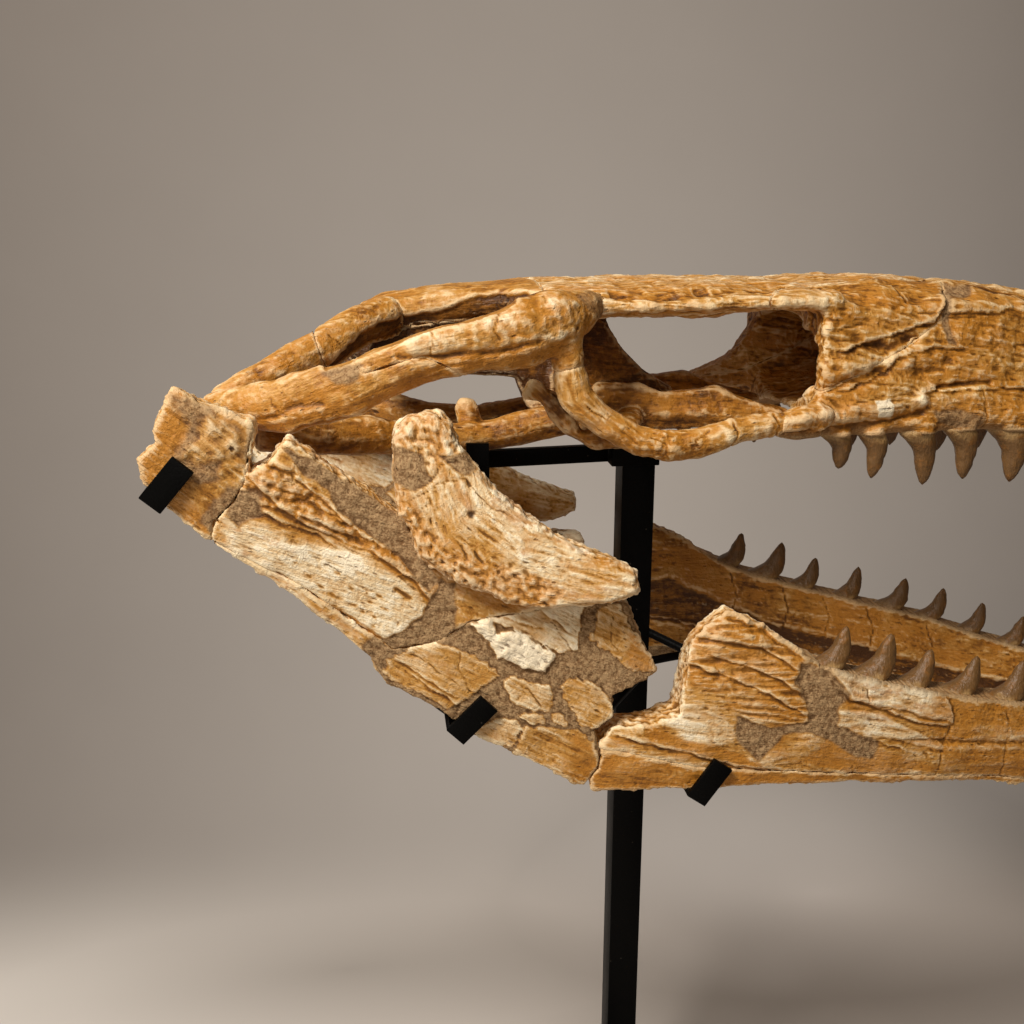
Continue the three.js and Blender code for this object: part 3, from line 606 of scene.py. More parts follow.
KINDS = {
    rugged: ["frontal", "premaxilla", "maxilla", "prefrontal"],
    barred: ["parietal", "parietal_ramus", "supratemporal", "postorbitofrontal", "squamosal", "jugal",
             "pterygoid", "ectopterygoid"],
    plated: ["coronoid", "articular", "surangular", "angular", "dentary", "splenial"],
    buried: ["braincase"],
}
KIND_OF = {stem: kind for kind, stems in KINDS.items() for stem in stems}
print({kind.__name__: len(stems) for kind, stems in KINDS.items()})

# %% [markdown]
# ## The marks of single bones
# A real specimen is known by its own breaks. Each function below draws the marks of one bone, and
# a table keeps which bone takes which. The angular, low in the jaw, was crushed to fragments, which
# were set in grey-brown filler. One of them is a lump of chalky white bone.

# %% The right angular
MARKS = {}


def right_angular(skin):
    zone = patch(skin, [
        (-212, -120), (-160, -80), (-150, -90), (0, -90), (0, -260), (-100, -240),
        (-210, -150)], 2.0, 1)
    white = [(-142, -108), (-127, -107), (-122, -115), (-108, -115), (-91, -128), (-83, -134),
             (-91, -146), (-104, -142), (-122, -133), (-129, -121), (-136, -114)]
    fragments = [
        [(-195, -132), (-170, -116), (-149, -125), (-125, -140), (-122, -147), (-136, -158),
         (-157, -171), (-167, -162), (-190, -148), (-200, -140)],
        [(-150, -95), (-141, -86), (-104, -96), (-63, -98), (-66, -113), (-69, -132), (-80, -133),
         (-104, -120), (-114, -112), (-133, -108)],
        [(-55, -103), (-39, -99), (-33, -115), (-25, -125), (-8, -153), (-32, -148), (-46, -134),
         (-61, -124), (-55, -115)],
        [(-80, -156), (-74, -151), (-56, -155), (-40, -176), (-35, -192), (-57, -191), (-65, -187),
         (-77, -165)],
        [(-118, -152), (-115, -147), (-100, -152), (-86, -155), (-84, -173), (-89, -176),
         (-101, -173), (-113, -166)],
        [(-108, -175), (-90, -177), (-90, -184), (-98, -185), (-105, -180)],
        [(-85, -176), (-78, -178), (-72, -187), (-78, -188), (-86, -183)],
        [(-140, -186), (-122, -178), (-110, -180), (-106, -188), (-111, -198), (-128, -204)],
        [(-104, -185), (-68, -190), (-55, -200), (-50, -221), (-56, -238), (-66, -240), (-82, -226),
         (-112, -206)],
        white,
    ]
    tones = (0.3, 1.1, 0.55, 0.7, 0.75, 0.6, 0.6, 0.7, 0.4, 1.0)
    plates(skin, zone, fragments, 1.1, 20, tones)
    skin["stain"] -= 0.25 * zone
    lump = patch(skin, white, 2.0, 29)
    skin["rise"] += lump * (1.8 + 1.3 * rough(skin["at"], 6, 3))
    add_to(skin, lump, cream=0.44, stain=-0.9)
    breaks(skin, 0.8, 0.8, 60, [
        [(-179, -127), (-158, -144), (-141, -157)], [(-148, -128), (-148, -139), (-141, -157)],
        [(-109, -165), (-102, -156), (-93, -171)], [(-84, -112), (-78, -122), (-72, -131)],
        [(-44, -108), (-45, -126), (-36, -140)],
    ])
    tip = patch(skin, fragments[2], 2.0, 70)
    skin["stain"] += 0.9 * tip * step_up(-40, -24, skin["x"])
    lower = patch(skin, fragments[8], 3.0, 71)
    skin["stain"] += 0.55 * lower * step_up(-90, -60, skin["x"])
    skin["cream"] -= 0.10 * lower
    ledges(skin, 0.9, 3.5, 310, [
        [(-146, -98), (-118, -104), (-92, -114)], [(-120, -92), (-92, -102), (-74, -118)],
        [(-183, -140), (-165, -154), (-150, -166)], [(-190, -132), (-170, -146), (-150, -160)],
    ])


MARKS["angular_right"] = right_angular
print(len(MARKS), "bones marked")

# %% [markdown]
# The surangular is the broad plate above it. Its lower half kept the pale outer layer, pierced by
# slots along the grain where small blood vessels came out. Its upper half has flaked off in ledges.

# %% The right surangular
def right_surangular(skin):
    band = patch(skin, [
        (-256, 16), (-233, 4), (-210, -13), (-186, -31), (-178, -43), (-170, -62), (-160, -78),
        (-168, -84), (-179, -70), (-190, -54), (-206, -43), (-215, -35), (-224, -26), (-230, -13),
        (-242, -3)], 1.2, 5)
    pale = patch(skin, [
        (-296, -28), (-287, -23), (-270, -31), (-253, -45), (-226, -52), (-199, -54), (-172, -73),
        (-161, -90), (-168, -103), (-190, -120), (-228, -91), (-254, -71), (-286, -54)], 4.0, 6)
    upper = patch(skin, [
        (-290, 0), (-262, 10), (-240, -2), (-226, -26), (-196, -46), (-176, -64), (-166, -84),
        (-204, -55), (-244, -34), (-270, -22)], 3.0, 7)
    skin["cream"] += 0.26 * pale + upper * (0.35 * rough(skin["grain"], 4, 290) - 0.02)
    skin["stain"] += 0.40 * upper - 0.55 * pale * step_up(-270, -225, skin["x"])
    skin["stain"] += 0.45 * pale * rough(skin["grain"], 4.5, 291)
    skin["rise"] += 0.8 * pale + upper * 2.2 * rough(skin["grain"], 7, 11, 2)
    skin["rise"] += upper * 1.5 * rough(skin["at"], 5, 292, 2)
    for number, (line, height, reach) in enumerate([
        ([(-276, -3), (-262, -19), (-244, -34), (-226, -44), (-204, -55), (-179, -73), (-166, -90)],
         1.9, 8),
        ([(-252, 0), (-228, -24), (-208, -44), (-186, -58)], 1.0, 5),
        ([(-283, -26), (-268, -27), (-253, -35), (-238, -41), (-223, -51)], 1.2, 6),
        ([(-278, -20), (-260, -22), (-241, -30), (-222, -41), (-208, -47)], 1.0, 4),
        ([(-262, -8), (-246, -14), (-230, -28), (-212, -40)], 0.8, 4),
    ]):
        ledge(skin, line, height, reach, 8 + 31 * number)
    stain_run = patch(skin, [
        (-210, -46), (-192, -58), (-176, -64), (-162, -80), (-158, -96), (-168, -92), (-180, -76),
        (-196, -66)], 2.0, 300)
    add_to(skin, stain_run, stain=1.0, cream=-0.12)
    stroke(skin, [(-252, -18), (-243, -20), (-234, -24)], -1.3, 1.8, 301, -0.45)
    stroke(skin, [(-189, -81), (-180, -89)], -1.3, 1.8, 302, -0.45)
    groove = [(-285, -56), (-270, -64), (-254, -75), (-236, -88), (-216, -103), (-196, -121)]
    away, _, _ = near_line(*wobble(skin, 9, 1.4, 10), groove)
    cut = np.exp(-(away / 2.0) ** 2) * skin["seen"]
    add_to(skin, cut, rise=-1.6, stain=1.4, cream=-0.35)
    vessel_slots = [
        (-251, -60), (-243, -68), (-226, -68), (-208, -83), (-206, -90), (-200, -85), (-211, -96),
        (-203, -99), (-196, -94), (-205, -106), (-200, -114), (-231, -82), (-188, -106), (-216, -91),
        (-237, -77), (-255, -73), (-218, -78),
    ]
    for number, (x, z) in enumerate(vessel_slots):
        half = 0.7 + 0.7 * (number % 3)                 # half a slot's length: 0.7, 1.4 or 2.1 mm
        slot = [(x - half, z + 0.6 * half), (x + half, z - 0.6 * half)]
        stroke(skin, slot, -0.4, 0.9, 320 + number, -0.30)
    breaks(skin, 1.2, 1.1, 35, [
        [(-214, -36), (-199, -45), (-184, -50), (-172, -63)], [(-232, -62), (-224, -67)],
        [(-186, -72), (-176, -82)],
    ])
    fill_in(skin, band, 12, 0.4)
    seam = patch(skin, [
        (-212, -122), (-187, -112), (-172, -100), (-160, -76), (-150, -80), (-150, -120),
        (-205, -135)], 1.5, 13)
    fill_in(skin, seam, 14, 0.8)
    root = patch(skin, [(-284, -10), (-270, -12), (-270, -26), (-284, -34), (-292, -26)], 2.0, 15)
    fill_in(skin, root, 16, 0.8)


MARKS["surangular_right"] = right_surangular
print(len(MARKS), "bones marked")

# %% [markdown]
# The articular carries the jaw joint at the rear end. It is lumpy, half covered with filler, and
# stained orange at the very back. A small round hole lies in its middle.

# %% The right articular
def right_articular(skin):
    band = patch(skin, [
        (-317, 50), (-268, 32), (-272, 12), (-292, -2), (-310, -6), (-322, 12), (-308, 30),
        (-316, 40)], 3.0, 17, 3.0)
    lump = patch(skin, [
        (-303, 33), (-294, 36), (-283, 28), (-278, 17), (-288, 10), (-306, 7), (-314, 11),
        (-305, 24)], 3.0, 19)
    fill_in(skin, band * (0.8 - 0.6 * lump) * step_up(-0.5, 0.1, ripple(skin["at"], 15, 23)), 18, 0.3)
    skin["rise"] += (lump + 0.5 * band) * (1.4 + 1.6 * rough(skin["at"], 13, 20, 2))
    skin["cream"] += 0.10 * lump + 0.14 * band * rough(skin["at"], 12, 24) - 0.05
    skin["stain"] += 0.4 * band * rough(skin["at"], 14, 25)
    hole = np.exp(-(np.hypot(skin["x"] + 285, skin["z"] - 16) / 1.5) ** 4) * skin["seen"]
    add_to(skin, hole, rise=-1.5, gap=1.5)
    crack(skin, [(-272, 2), (-277, -3), (-283, -12), (-289, -17), (-293, -23), (-303, -32)], 1.3, 1.0, 21)
    rear = patch(skin, [
        (-345, 55), (-312, 55), (-312, 20), (-320, 0), (-300, -40), (-345, -10)], 3.0, 22)
    skin["stain"] += 0.7 * rear
    foot = patch(skin, [(-290, -8), (-276, -10), (-284, -30), (-300, -38), (-308, -30)], 2.0, 26)
    fill_in(skin, 0.8 * foot, 27, 0.6)


MARKS["articular_right"] = right_articular
print(len(MARKS), "bones marked")

# %% [markdown]
# The coronoid is the tall saddle that the jaw muscles pulled on. It has a knobbly top, a rough
# porous belt where the muscle was rooted, and a smooth streaked blade that points forwards.

# %% The right coronoid
def right_coronoid(skin):
    fills = [
        [(-190, 16), (-169, 8), (-167, -4), (-163, -6), (-166, -10), (-175, -14), (-188, -11)],
        [(-161, 7), (-140, 8), (-135, -2), (-143, -6), (-146, -5), (-156, 3)],
    ]
    knob = patch(skin, [
        (-190, 34), (-150, 34), (-146, 10), (-160, 4), (-168, -6), (-190, -12)], 2.0, 30)
    skin["rise"] += knob * (1.8 * rough(skin["at"], 8, 31) + 0.9 * rough(skin["at"], 4, 33, 2))
    add_to(skin, knob, cream=0.12, stain=0.15)
    for number, outline in enumerate(fills):
        fill_in(skin, patch(skin, outline, 1.2, 32 + number), 34 + number, 0.5)
    for seed, depth, width, line in [
        (36, 1.1, 1.1, [(-186, -13), (-176, -14), (-165, -9), (-158, 2), (-142, 5)]),
        (37, 1.3, 0.8, [(-162, -10), (-154, -9), (-143, -7)]),
        (38, 1.1, 0.8, [(-143, -8), (-128, -26), (-105, -37)]),
        (39, 0.9, 0.7, [(-188, -24), (-176, -19), (-166, -15)]),
        (40, 0.9, 0.7, [(-183, -37), (-174, -30), (-166, -22)]),
        (41, 1.8, 1.5, [(-147, -50), (-144, -57)]),
        (42, 1.8, 1.5, [(-139, -54), (-133, -63)]),
    ]:
        crack(skin, line, depth, width, seed)
    star = np.hypot(skin["x"] + 140, skin["z"] + 30)
    pit = np.exp(-(star / (2.4 + 1.2 * ripple(skin["at"], 3, 43))) ** 2) * skin["seen"]
    add_to(skin, pit, rise=-1.4, gap=1.0)
    belt = patch(skin, [
        (-188, -22), (-176, -26), (-160, -50), (-140, -60), (-117, -62), (-96, -72), (-84, -80),
        (-88, -98), (-110, -98), (-150, -80), (-176, -60), (-190, -34)], 5.0, 44)
    first, _, _ = cells(skin["at"], 6.0, 45)
    holes = belt * (1 - step_up(0.12, 0.36, first)) * step_up(-0.4, 0.3, ripple(skin["at"], 16, 50))
    skin["rise"] += belt * 1.9 * rough(skin["at"], 6, 46, 2) - 1.9 * holes
    skin["gap"] += 0.85 * holes
    skin["stain"] += 0.45 * belt
    blade = patch(skin, [
        (-160, 6), (-140, 8), (-100, -36), (-50, -64), (-30, -74), (-60, -84), (-110, -64),
        (-146, -40)], 6.0, 47)
    streaks = rough(skin["grain"], 3.6, 48)
    skin["cream"] += 0.10 + 0.06 * blade + 0.11 * streaks * (1 - belt)
    skin["stain"] += 0.10 - 0.20 * blade + 0.5 * rough(skin["grain"], 6, 49) * (1 - belt)
    skin["rise"] += 0.3 * streaks * (1 - belt)


MARKS["coronoid_right"] = right_coronoid
print(len(MARKS), "bones marked")

# %% [markdown]
# The dentary bears the teeth. Its rear end is a tall lobe of layered bone, with filler in front of
# it and two pale splints set in the filler. The splenial, the low strip below it, has painted shade.

# %% The right dentary and splenial
def right_dentary(skin):
    gap = [(92, -150), (112, -157), (130, -178), (122, -185), (121, -200), (155, -216), (152, -230),
           (139, -228), (115, -210), (102, -204), (81, -203), (70, -219), (63, -223), (45, -204),
           (46, -187), (71, -198), (99, -195), (96, -180), (87, -165)]
    splints = [
        [(106, -150), (131, -162), (154, -172), (201, -185), (213, -194), (214, -208), (177, -195),
         (143, -185), (128, -179), (114, -163)],
        [(117, -186), (144, -191), (169, -202), (210, -226), (208, -230), (168, -216), (123, -202)],
    ]
    layered = patch(skin, [
        (5, -105), (39, -107), (100, -148), (95, -154), (87, -165), (101, -193), (71, -198),
        (46, -183), (9, -156)], 2.0, 50)
    sheets = 1 - 2 * np.abs(ripple(skin["grain"] * np.float32([1, 1, 1.3]), 7, 51))
    skin["rise"] += layered * 1.3 * sheets
    skin["rise"] += layered * 0.5 * rough(skin["at"], 7, 52)
    skin["stain"] += 0.35 * layered
    ledges(skin, 1.9, 6, 53, [
        [(12, -128), (36, -131), (62, -138), (90, -156)],
        [(10, -146), (40, -158), (70, -172), (96, -190)], [(40, -116), (64, -126), (92, -148)],
        [(28, -142), (58, -152), (92, -172)],
    ])
    for number, outline in enumerate(splints):
        mask = patch(skin, outline, 0.8, 57 + number)
        skin["cream"] += 0.22 * mask
        skin["stain"] += mask * (0.15 + 0.4 * rough(skin["grain"], 5, 59 + number))
        skin["rise"] += (1.6 - number) * mask + 0.6 * mask * ripple(skin["grain"], 4, 59)
    ledge(skin, [(117, -170), (131, -181), (143, -186), (161, -193), (182, -203), (211, -210)], 2.2, 5, 61)
    ledge(skin, [(120, -200), (145, -213), (176, -225)], 1.2, 5, 73)
    crack(skin, [(142, -175), (144, -186)], 1.4, 0.8, 74)
    ledge(skin, [(-38, -197), (-18, -204), (10, -212), (46, -226), (80, -232)], 1.6, 9, 62)
    fill_in(skin, patch(skin, gap, 1.6, 63), 64, 0.7)
    lobe = patch(skin, [
        (-7, -189), (16, -179), (36, -187), (49, -200), (37, -208), (11, -204)], 2.0, 65)
    skin["cream"] += 0.3 * lobe
    step = patch(skin, [
        (-20, -196), (-11, -203), (26, -219), (50, -225), (67, -228), (40, -212), (10, -204),
        (-20, -188)], 2.0, 66)
    low = patch(skin, [(98, -226), (120, -206), (160, -226), (206, -244), (150, -244)], 4.0, 67)
    skin["stain"] += 1.0 * step + 0.9 * low
    skin["cream"] -= 0.15 * step
    ahead = step_up(190, 215, skin["x"]) * skin["seen"]
    shin = step_up(-222, -236, skin["z"]) * step_up(90, 60, skin["x"]) * skin["seen"]
    skin["cream"] -= 0.10 * ahead + 0.32 * shin
    skin["stain"] += 0.30 * ahead + 0.35 * shin
    breaks(skin, 1.2, 1.0, 68, [
        [(213, -212), (210, -221), (205, -251)], [(261, -206), (263, -213), (265, -263)]])
    breaks(skin, 0.8, 0.8, 70, [[(112, -240), (116, -249)], [(138, -234), (138, -249)]])


def right_splenial(skin):
    # Painted shade: the splenial is coloured darker and browner, as the dentary's shade.
    add_to(skin, skin["seen"], cream=-0.20, stain=0.35)


MARKS.update(dentary_right=right_dentary, splenial_right=right_splenial)
print(len(MARKS), "bones marked")

# %% [markdown]
# The snout is split into long ledges with grooves between them. A square inlay of white bone closes
# a hole low on it, and filler makes good the margin beside the teeth and a gap at the top.

# %% The right side of the snout
def right_snout(skin):
    strokes(skin, 200, [
        ([(131, 68), (148, 63), (161, 61), (174, 64), (184, 67)], -3.2, 4.5, -0.25),
        ([(136, 93), (154, 91), (170, 90), (186, 93), (193, 94)], -1.8, 4.0, -0.15),
        ([(111, 34), (127, 36), (145, 41), (159, 48)], -3.0, 4.5, -0.25),
        ([(182, 41), (190, 45), (202, 47), (212, 53)], -2.8, 4.5, -0.20),
        ([(200, 31), (213, 32), (233, 33), (246, 33)], -3.2, 2.2, -0.30),
        ([(78, 4), (114, 5), (152, 7), (176, 11), (196, 15)], -3.0, 3.5, -0.25),
        ([(120, 48), (136, 46), (146, 48)], 2.8, 6.0, 0.05),
        ([(173, 51), (181, 50)], 2.6, 4.0, 0.15),
        ([(212, 66), (232, 67), (252, 66)], 2.6, 9.0, 0.05),
        ([(78, 15), (110, 17), (145, 18), (180, 21), (192, 23)], 2.6, 6.0, 0.18),
        ([(186, 30), (191, 22)], 3.0, 4.5, 0.10),
        ([(200, 24), (226, 23), (257, 22)], 1.4, 6.0, 0.05),
        ([(227, 101), (235, 97), (259, 92), (277, 86)], 1.6, 4.0, 0.10),
        ([(225, 101), (243, 98), (253, 96), (271, 92)], -1.6, 1.8, -0.25),
    ])
    ledge(skin, [(124, 60), (157, 68), (170, 71), (183, 74), (196, 77), (202, 86), (211, 98)], 2.4, 9, 80)
    ledge(skin, [(120, 30), (148, 39), (160, 45), (165, 52), (179, 56), (196, 60), (220, 58)], 2.2, 8, 82)
    ledge(skin, [(192, 29), (226, 29), (257, 29), (330, 24)], 1.6, 5, 83)
    ledge(skin, [(206, 83), (225, 84), (245, 82), (262, 84), (300, 78)], 1.6, 7, 85)
    breaks(skin, 1.5, 1.1, 86, [
        [(208, 80), (226, 79), (244, 82), (261, 85)], [(238, 29), (241, 17), (244, 1)],
        [(120, 74), (140, 78)], [(264, 58), (292, 60), (330, 52)], [(131, 21), (146, 25), (157, 26)],
        [(154, 18), (180, 19)], [(171, 99), (176, 92)], [(183, 84), (196, 83)],
    ])
    inlay = patch(skin, [(151, 24), (164, 25), (166, 13), (154, 13)], 0.6, 94, 0.6)
    add_to(skin, inlay, cream=0.55, stain=-0.8)
    for number, outline in enumerate([
        [(198, 15), (218, 15), (243, 9), (240, -1), (224, 0), (207, 5)],
        [(216, 100), (237, 99), (233, 93), (213, 92), (209, 80), (215, 59), (208, 62), (203, 80),
         (206, 94)],
    ]):
        fill_in(skin, patch(skin, outline, 1.5, 95 + number) * 0.8, 97 + number, 0.4)
    smooth = patch(skin, [(207, 77), (232, 76), (252, 73), (257, 58), (232, 59), (214, 56)], 3.0, 98)
    skin["stain"] += 0.7 * smooth
    knobs = step_up(2, 10, skin["z"]) * (1 - step_up(14, 30, skin["z"])) * skin["seen"]
    skin["rise"] += 0.6 * knobs * rough(skin["at"], 9, 100)
    skin["stain"] += 0.35 * skin["seen"] * step_up(40, -5, skin["z"])
    skin["cream"] += 0.08 * smooth - 0.14 * step_up(74, 90, skin["z"]) * step_up(95, 130, skin["x"])
    ragged = np.exp(-((skin["x"] - 112) / 7) ** 2) * step_up(14, 24, skin["z"])
    skin["rise"] += 2.0 * ragged * rough(skin["at"], 8, 101)


MARKS.update(maxilla_right=right_snout, prefrontal_right=right_snout)
print(len(MARKS), "bones marked")

# %% [markdown]
# Two bars and the roof's rim frame the upper temporal opening. The arch is crusted with pale bone
# at its front end. The walls inside the opening and the arch's underside are painted darker, as shade.

# %% The right arch, the cheek and the roof
def right_arch(skin):
    """The outer bar of the temporal opening."""
    breaks(skin, 1.4, 0.9, 110, [
        [(-263, 43), (-261, 38), (-258, 35)], [(-164, 83), (-161, 77), (-164, 68)],
        [(-120, 92), (-124, 84), (-121, 78)], [(-81, 49), (-70, 55)], [(-36, 93), (-33, 99)],
    ])
    strokes(skin, 240, [
        ([(-288, 27), (-271, 28), (-262, 30), (-248, 37), (-231, 40)], -1.6, 2.2, -0.20),
        ([(-184, 67), (-164, 67), (-140, 69), (-111, 71), (-93, 76)], -1.8, 2.4, -0.25),
        ([(-180, 74), (-160, 79), (-130, 87), (-104, 92)], 1.6, 6.0, 0.20),
        ([(-253, 19), (-232, 26), (-211, 30), (-183, 36), (-156, 44)], 1.2, 4.0, 0.15),
    ])
    ledge(skin, [(-254, 21), (-230, 29), (-205, 33), (-154, 48)], 1.2, 5, 116)
    crust = patch(skin, [
        (-164, 81), (-142, 86), (-119, 93), (-88, 101), (-66, 98), (-63, 73), (-93, 76), (-120, 72),
        (-143, 74), (-159, 72)], 4.0, 250)
    skin["rise"] += crust * (1.0 * rough(skin["at"], 7, 252, 2) + 0.6)
    skin["cream"] += 0.18 * crust * rough(skin["at"], 6, 253, 2) + 0.10 * crust
    skin["gap"] += 0.25 * crust * step_up(0.25, 0.6, rough(skin["at"], 5, 254, 2))
    # Painted shade: the inner faces that look into the opening are coloured darker.
    inner = step_up(-118, -109, skin["at"][:, 1]) * step_up(-250, -235, skin["x"])
    inner = inner * step_up(-78, -95, skin["x"]) * step_up(50, 58, skin["z"])       # faces the opening
    add_to(skin, inner, cream=-0.45, gap=0.6)
    # Painted shade: faces that turn downwards are coloured darker and browner.
    belly = step_up(0.0, -0.6, skin["out"][:, 2]) * skin["seen"]
    add_to(skin, belly, cream=-0.16, stain=0.30)
    for number, outline in enumerate([
        [(-230, 58), (-213, 63), (-204, 63), (-210, 52), (-220, 51)],
        [(-60, 104), (-50, 104), (-40, 98), (-38, 86), (-46, 81), (-61, 93), (-68, 101)],
    ]):
        mask = patch(skin, outline, 1.4, 117 + number)
        fill_in(skin, mask * (0.8 - 0.3 * number), 119 + number, 0.2)


def roof_edge(skin):
    """The groove and the slots along the right rim of the skull roof."""
    stroke(skin, [(-38, 100), (-17, 98), (12, 100), (57, 102), (96, 102)], -2.0, 1.8, 270, -0.35)
    for number, (x, z) in enumerate([(-21, 103), (1, 103), (24, 102), (75, 103)]):
        stroke(skin, [(x - 5, z), (x + 5, z - 1)], -2.4, 1.5, 273 + number, -0.6)
    ledge(skin, [(-60, 103), (-55, 102), (-33, 103), (1, 104)], 1.4, 4, 280)
    skin["rise"] += 0.8 * rough(skin["grain"], 5, 283, 2)
    skin["cream"] += 0.15 + 0.24 * rough(skin["grain"], 8, 284)


def opening_wall(skin):
    """The inner wall of the upper temporal opening, carved back and darkened as painted shade."""
    under = patch(skin, [
        (-70, 96), (-101, 99), (-118, 96), (-133, 92), (-150, 85), (-164, 83), (-190, 79),
        (-201, 75), (-213, 66), (-228, 52), (-228, 20), (-70, 20)], 2.0, 255)
    # Painted shade: the wall is coloured darker so that it reads as a deep gap.
    add_to(skin, under, rise=-3.0, cream=-0.42, gap=0.45)


def right_ramus(skin):
    """The bar that runs back and down from the roof."""
    breaks(skin, 1.2, 0.9, 121, [
        [(-253, 65), (-247, 55)], [(-227, 75), (-219, 67)], [(-155, 94), (-150, 88), (-152, 83)],
        [(-280, 50), (-262, 58)], [(-268, 60), (-246, 68)],
    ])
    pale = patch(skin, [(-209, 82), (-192, 84), (-195, 79), (-206, 80)], 1.5, 125)
    skin["cream"] += 0.4 * pale
    opening_wall(skin)


def right_cheek(skin):
    """The jugal, bent round the eye socket, with knots at its front end."""
    knots = np.exp(-((skin["x"] - 78) / 22) ** 2)
    skin["rise"] += 1.4 * knots * rough(skin["at"], 9, 126)
    breaks(skin, 1.5, 0.9, 127, [
        [(42, 15), (45, 8), (42, -2)], [(15, 5), (26, 10)], [(72, 19), (76, 12), (73, 0)],
        [(-60, 30), (-48, 22)], [(-16, 8), (-6, 4), (-4, -6)],
    ])
    stroke(skin, [(26, 6), (34, 10), (42, 4)], 1.6, 4.0, 260, 0.20)
    stroke(skin, [(39, 17), (45, 17)], 2.4, 3.0, 263, 0.10)
    bend = np.exp(-np.hypot(skin["x"] + 8, skin["z"] - 2) / 14)
    skin["rise"] += 1.6 * bend * rough(skin["at"], 5, 266, 2)


MARKS.update(
    squamosal_right=right_arch, postorbitofrontal_right=right_arch, parietal_ramus_right=right_ramus,
    jugal_right=right_cheek, frontal=roof_edge, parietal=opening_wall, braincase=opening_wall)
print(len(MARKS), "bones marked")

# %% [markdown]
# Of the left side only the inner face of the dentary shows, with the long channel that a nerve ran
# in. The other plates of the left jaw are plain crushed bone, in fragments of the sizes given in mm.

# %% The left jaw
def left_dentary(skin):
    channel = patch(skin, [
        (-20, -176), (60, -168), (150, -212), (300, -252), (450, -284), (450, -292), (300, -268),
        (150, -236), (60, -206), (-20, -196)], 4.0, 140)
    add_to(skin, channel, rise=-3.0, cream=-0.45, gap=0.35)
    ledge(skin, [(-20, -196), (60, -206), (150, -236), (300, -266)], 1.6, 8, 141)
    for number, x in enumerate((120, 168, 206, 246, 300)):
        top = -160 - 0.27 * (x - 100)
        crack(skin, [(x - 4, top), (x + 2, top - 20), (x - 2, top - 40)], 1.3, 1.0, 142 + number)
    skin["stain"] += 0.6 * (1 - channel) * step_up(-0.2, 0.4, rough(skin["at"], 36, 150))


MARKS["dentary_left"] = left_dentary
CRUSHED = {"angular_left": 34, "surangular_left": 60, "articular_left": 30, "splenial_left": 40}
print(len(MARKS), "bones marked and", len(CRUSHED), "in fragments")

# %% [markdown]
# ## From skins to meshes
# Each point is pushed out by its rise. Then the surface tells its own story once more: comparing it
# with a smoothed copy of itself shows which points stand proud and which lie in hollows. The finish
# paints the proud ones paler, as a painted highlight, and the hollows darker, as painted shade.

# %% Meshes with their finish attributes
def relaxed(values, ends, count, rounds):
    """Each point's value averaged with its neighbours, several times over."""
    for _ in range(rounds):
        total = np.stack([np.bincount(ends[:, 0], values[ends[:, 1], k], len(values))
                          for k in range(values.shape[1])], axis=1)
        values = (values + total) / (1 + count[:, None])
    return values


def bone_mesh(name, skin, faces):
    """A mesh in metres from a skin, with the attributes that the finish reads."""
    rise = np.clip(skin["rise"], -4.0, 4.5)
    rise = rise * (1 - skin["wall"]) + 0.35 * skin["wall"]      # the walls of a suture meet
    at = skin["at"] + skin["out"] * rise[:, None]
    ends = np.concatenate([faces[:, [i, (i + 1) % 4]] for i in range(4)])
    count = np.bincount(ends[:, 0], minlength=len(at))
    out = facings(at.astype(np.float32), faces)
    # The relief feeds the finish's painted highlight on proud points and painted shade in hollows.
    fine = ((at - relaxed(at, ends, count, 3)) * out).sum(axis=1)
    broad = ((at - relaxed(at, ends, count, 14)) * out).sum(axis=1)
    relief = np.clip(fine / 0.25, -1, 1) * 0.5 + np.clip(broad / 1.2, -1, 1) * 0.5
    mesh = bpy.data.meshes.new(name)
    mesh.vertices.add(len(at))
    mesh.vertices.foreach_set("co", (at / 1000).astype(np.float32).ravel())
    mesh.loops.add(faces.size)
    mesh.loops.foreach_set("vertex_index", faces.astype(np.int32).ravel())
    mesh.polygons.add(len(faces))
    mesh.polygons.foreach_set("loop_start", np.arange(0, faces.size, 4, dtype=np.int32))
    mesh.polygons.foreach_set("use_smooth", np.ones(len(faces), bool))
    mesh.update(calc_edges=True)
    for key in ("cream", "filler", "stain", "gap"):
        mesh.attributes.new(key, "FLOAT", "POINT").data.foreach_set(
            "value", np.clip(skin[key], -0.5, 1.5).astype(np.float32))
    mesh.attributes.new("relief", "FLOAT", "POINT").data.foreach_set("value", relief.astype(np.float32))
    mesh.attributes.new("grain", "FLOAT_VECTOR", "POINT").data.foreach_set(
        "vector", (skin["grain"] / 1000).astype(np.float32).ravel())
    return mesh


def in_scene(name, data):
    """A new object, put into the scene."""
    thing = bpy.data.objects.new(name, data)
    bpy.context.scene.collection.objects.link(thing)
    return thing


def place(mesh, name, slot="bone", stands_for=()):
    """An object for a finished mesh, which rides on the stand's body and stands for its solids."""
    piece = in_scene(name, mesh)
    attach(piece, "root")
    if stands_for:
        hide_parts(*stands_for)
    return piece


print("a finished point carries cream, filler, stain, gap, relief and grain")

# %% [markdown]
# ## What the volume loses
# The frame's solids carry plain cones for teeth, because a simulation needs their bulk. Fine teeth
# come later, so the plain ones are cut off at the margins of the jaws. The arch beside the upper
# temporal opening is cut down to its slender top edge in the same way.

# %% Cutting back
def on_line(line, x):
    """The height of a line at x, for one number or many."""
    return np.interp(x, [p[0] for p in line], [p[1] for p in line])


UPPER_MARGIN = [(111, 0), (230, 0), (310, -4), (400, -7), (490, -9), (555, -9), (588, -7), (600, 0)]
LOWER_MARGIN = [(96, -152), (135, -167), (189, -183), (240, -196), (300, -210), (344, -225),
                (400, -241), (560, -275)]
ARCH_TOP = [(-250, 84), (-238, 68), (-228, 59), (-212, 63), (-198, 70), (-185, 74), (-169, 80),
            (-155, 84), (-142, 86), (-131, 89), (-119, 93), (-109, 98), (-100, 112)]
KEEP = -9.0                             # well below zero, so the volume stays as it is


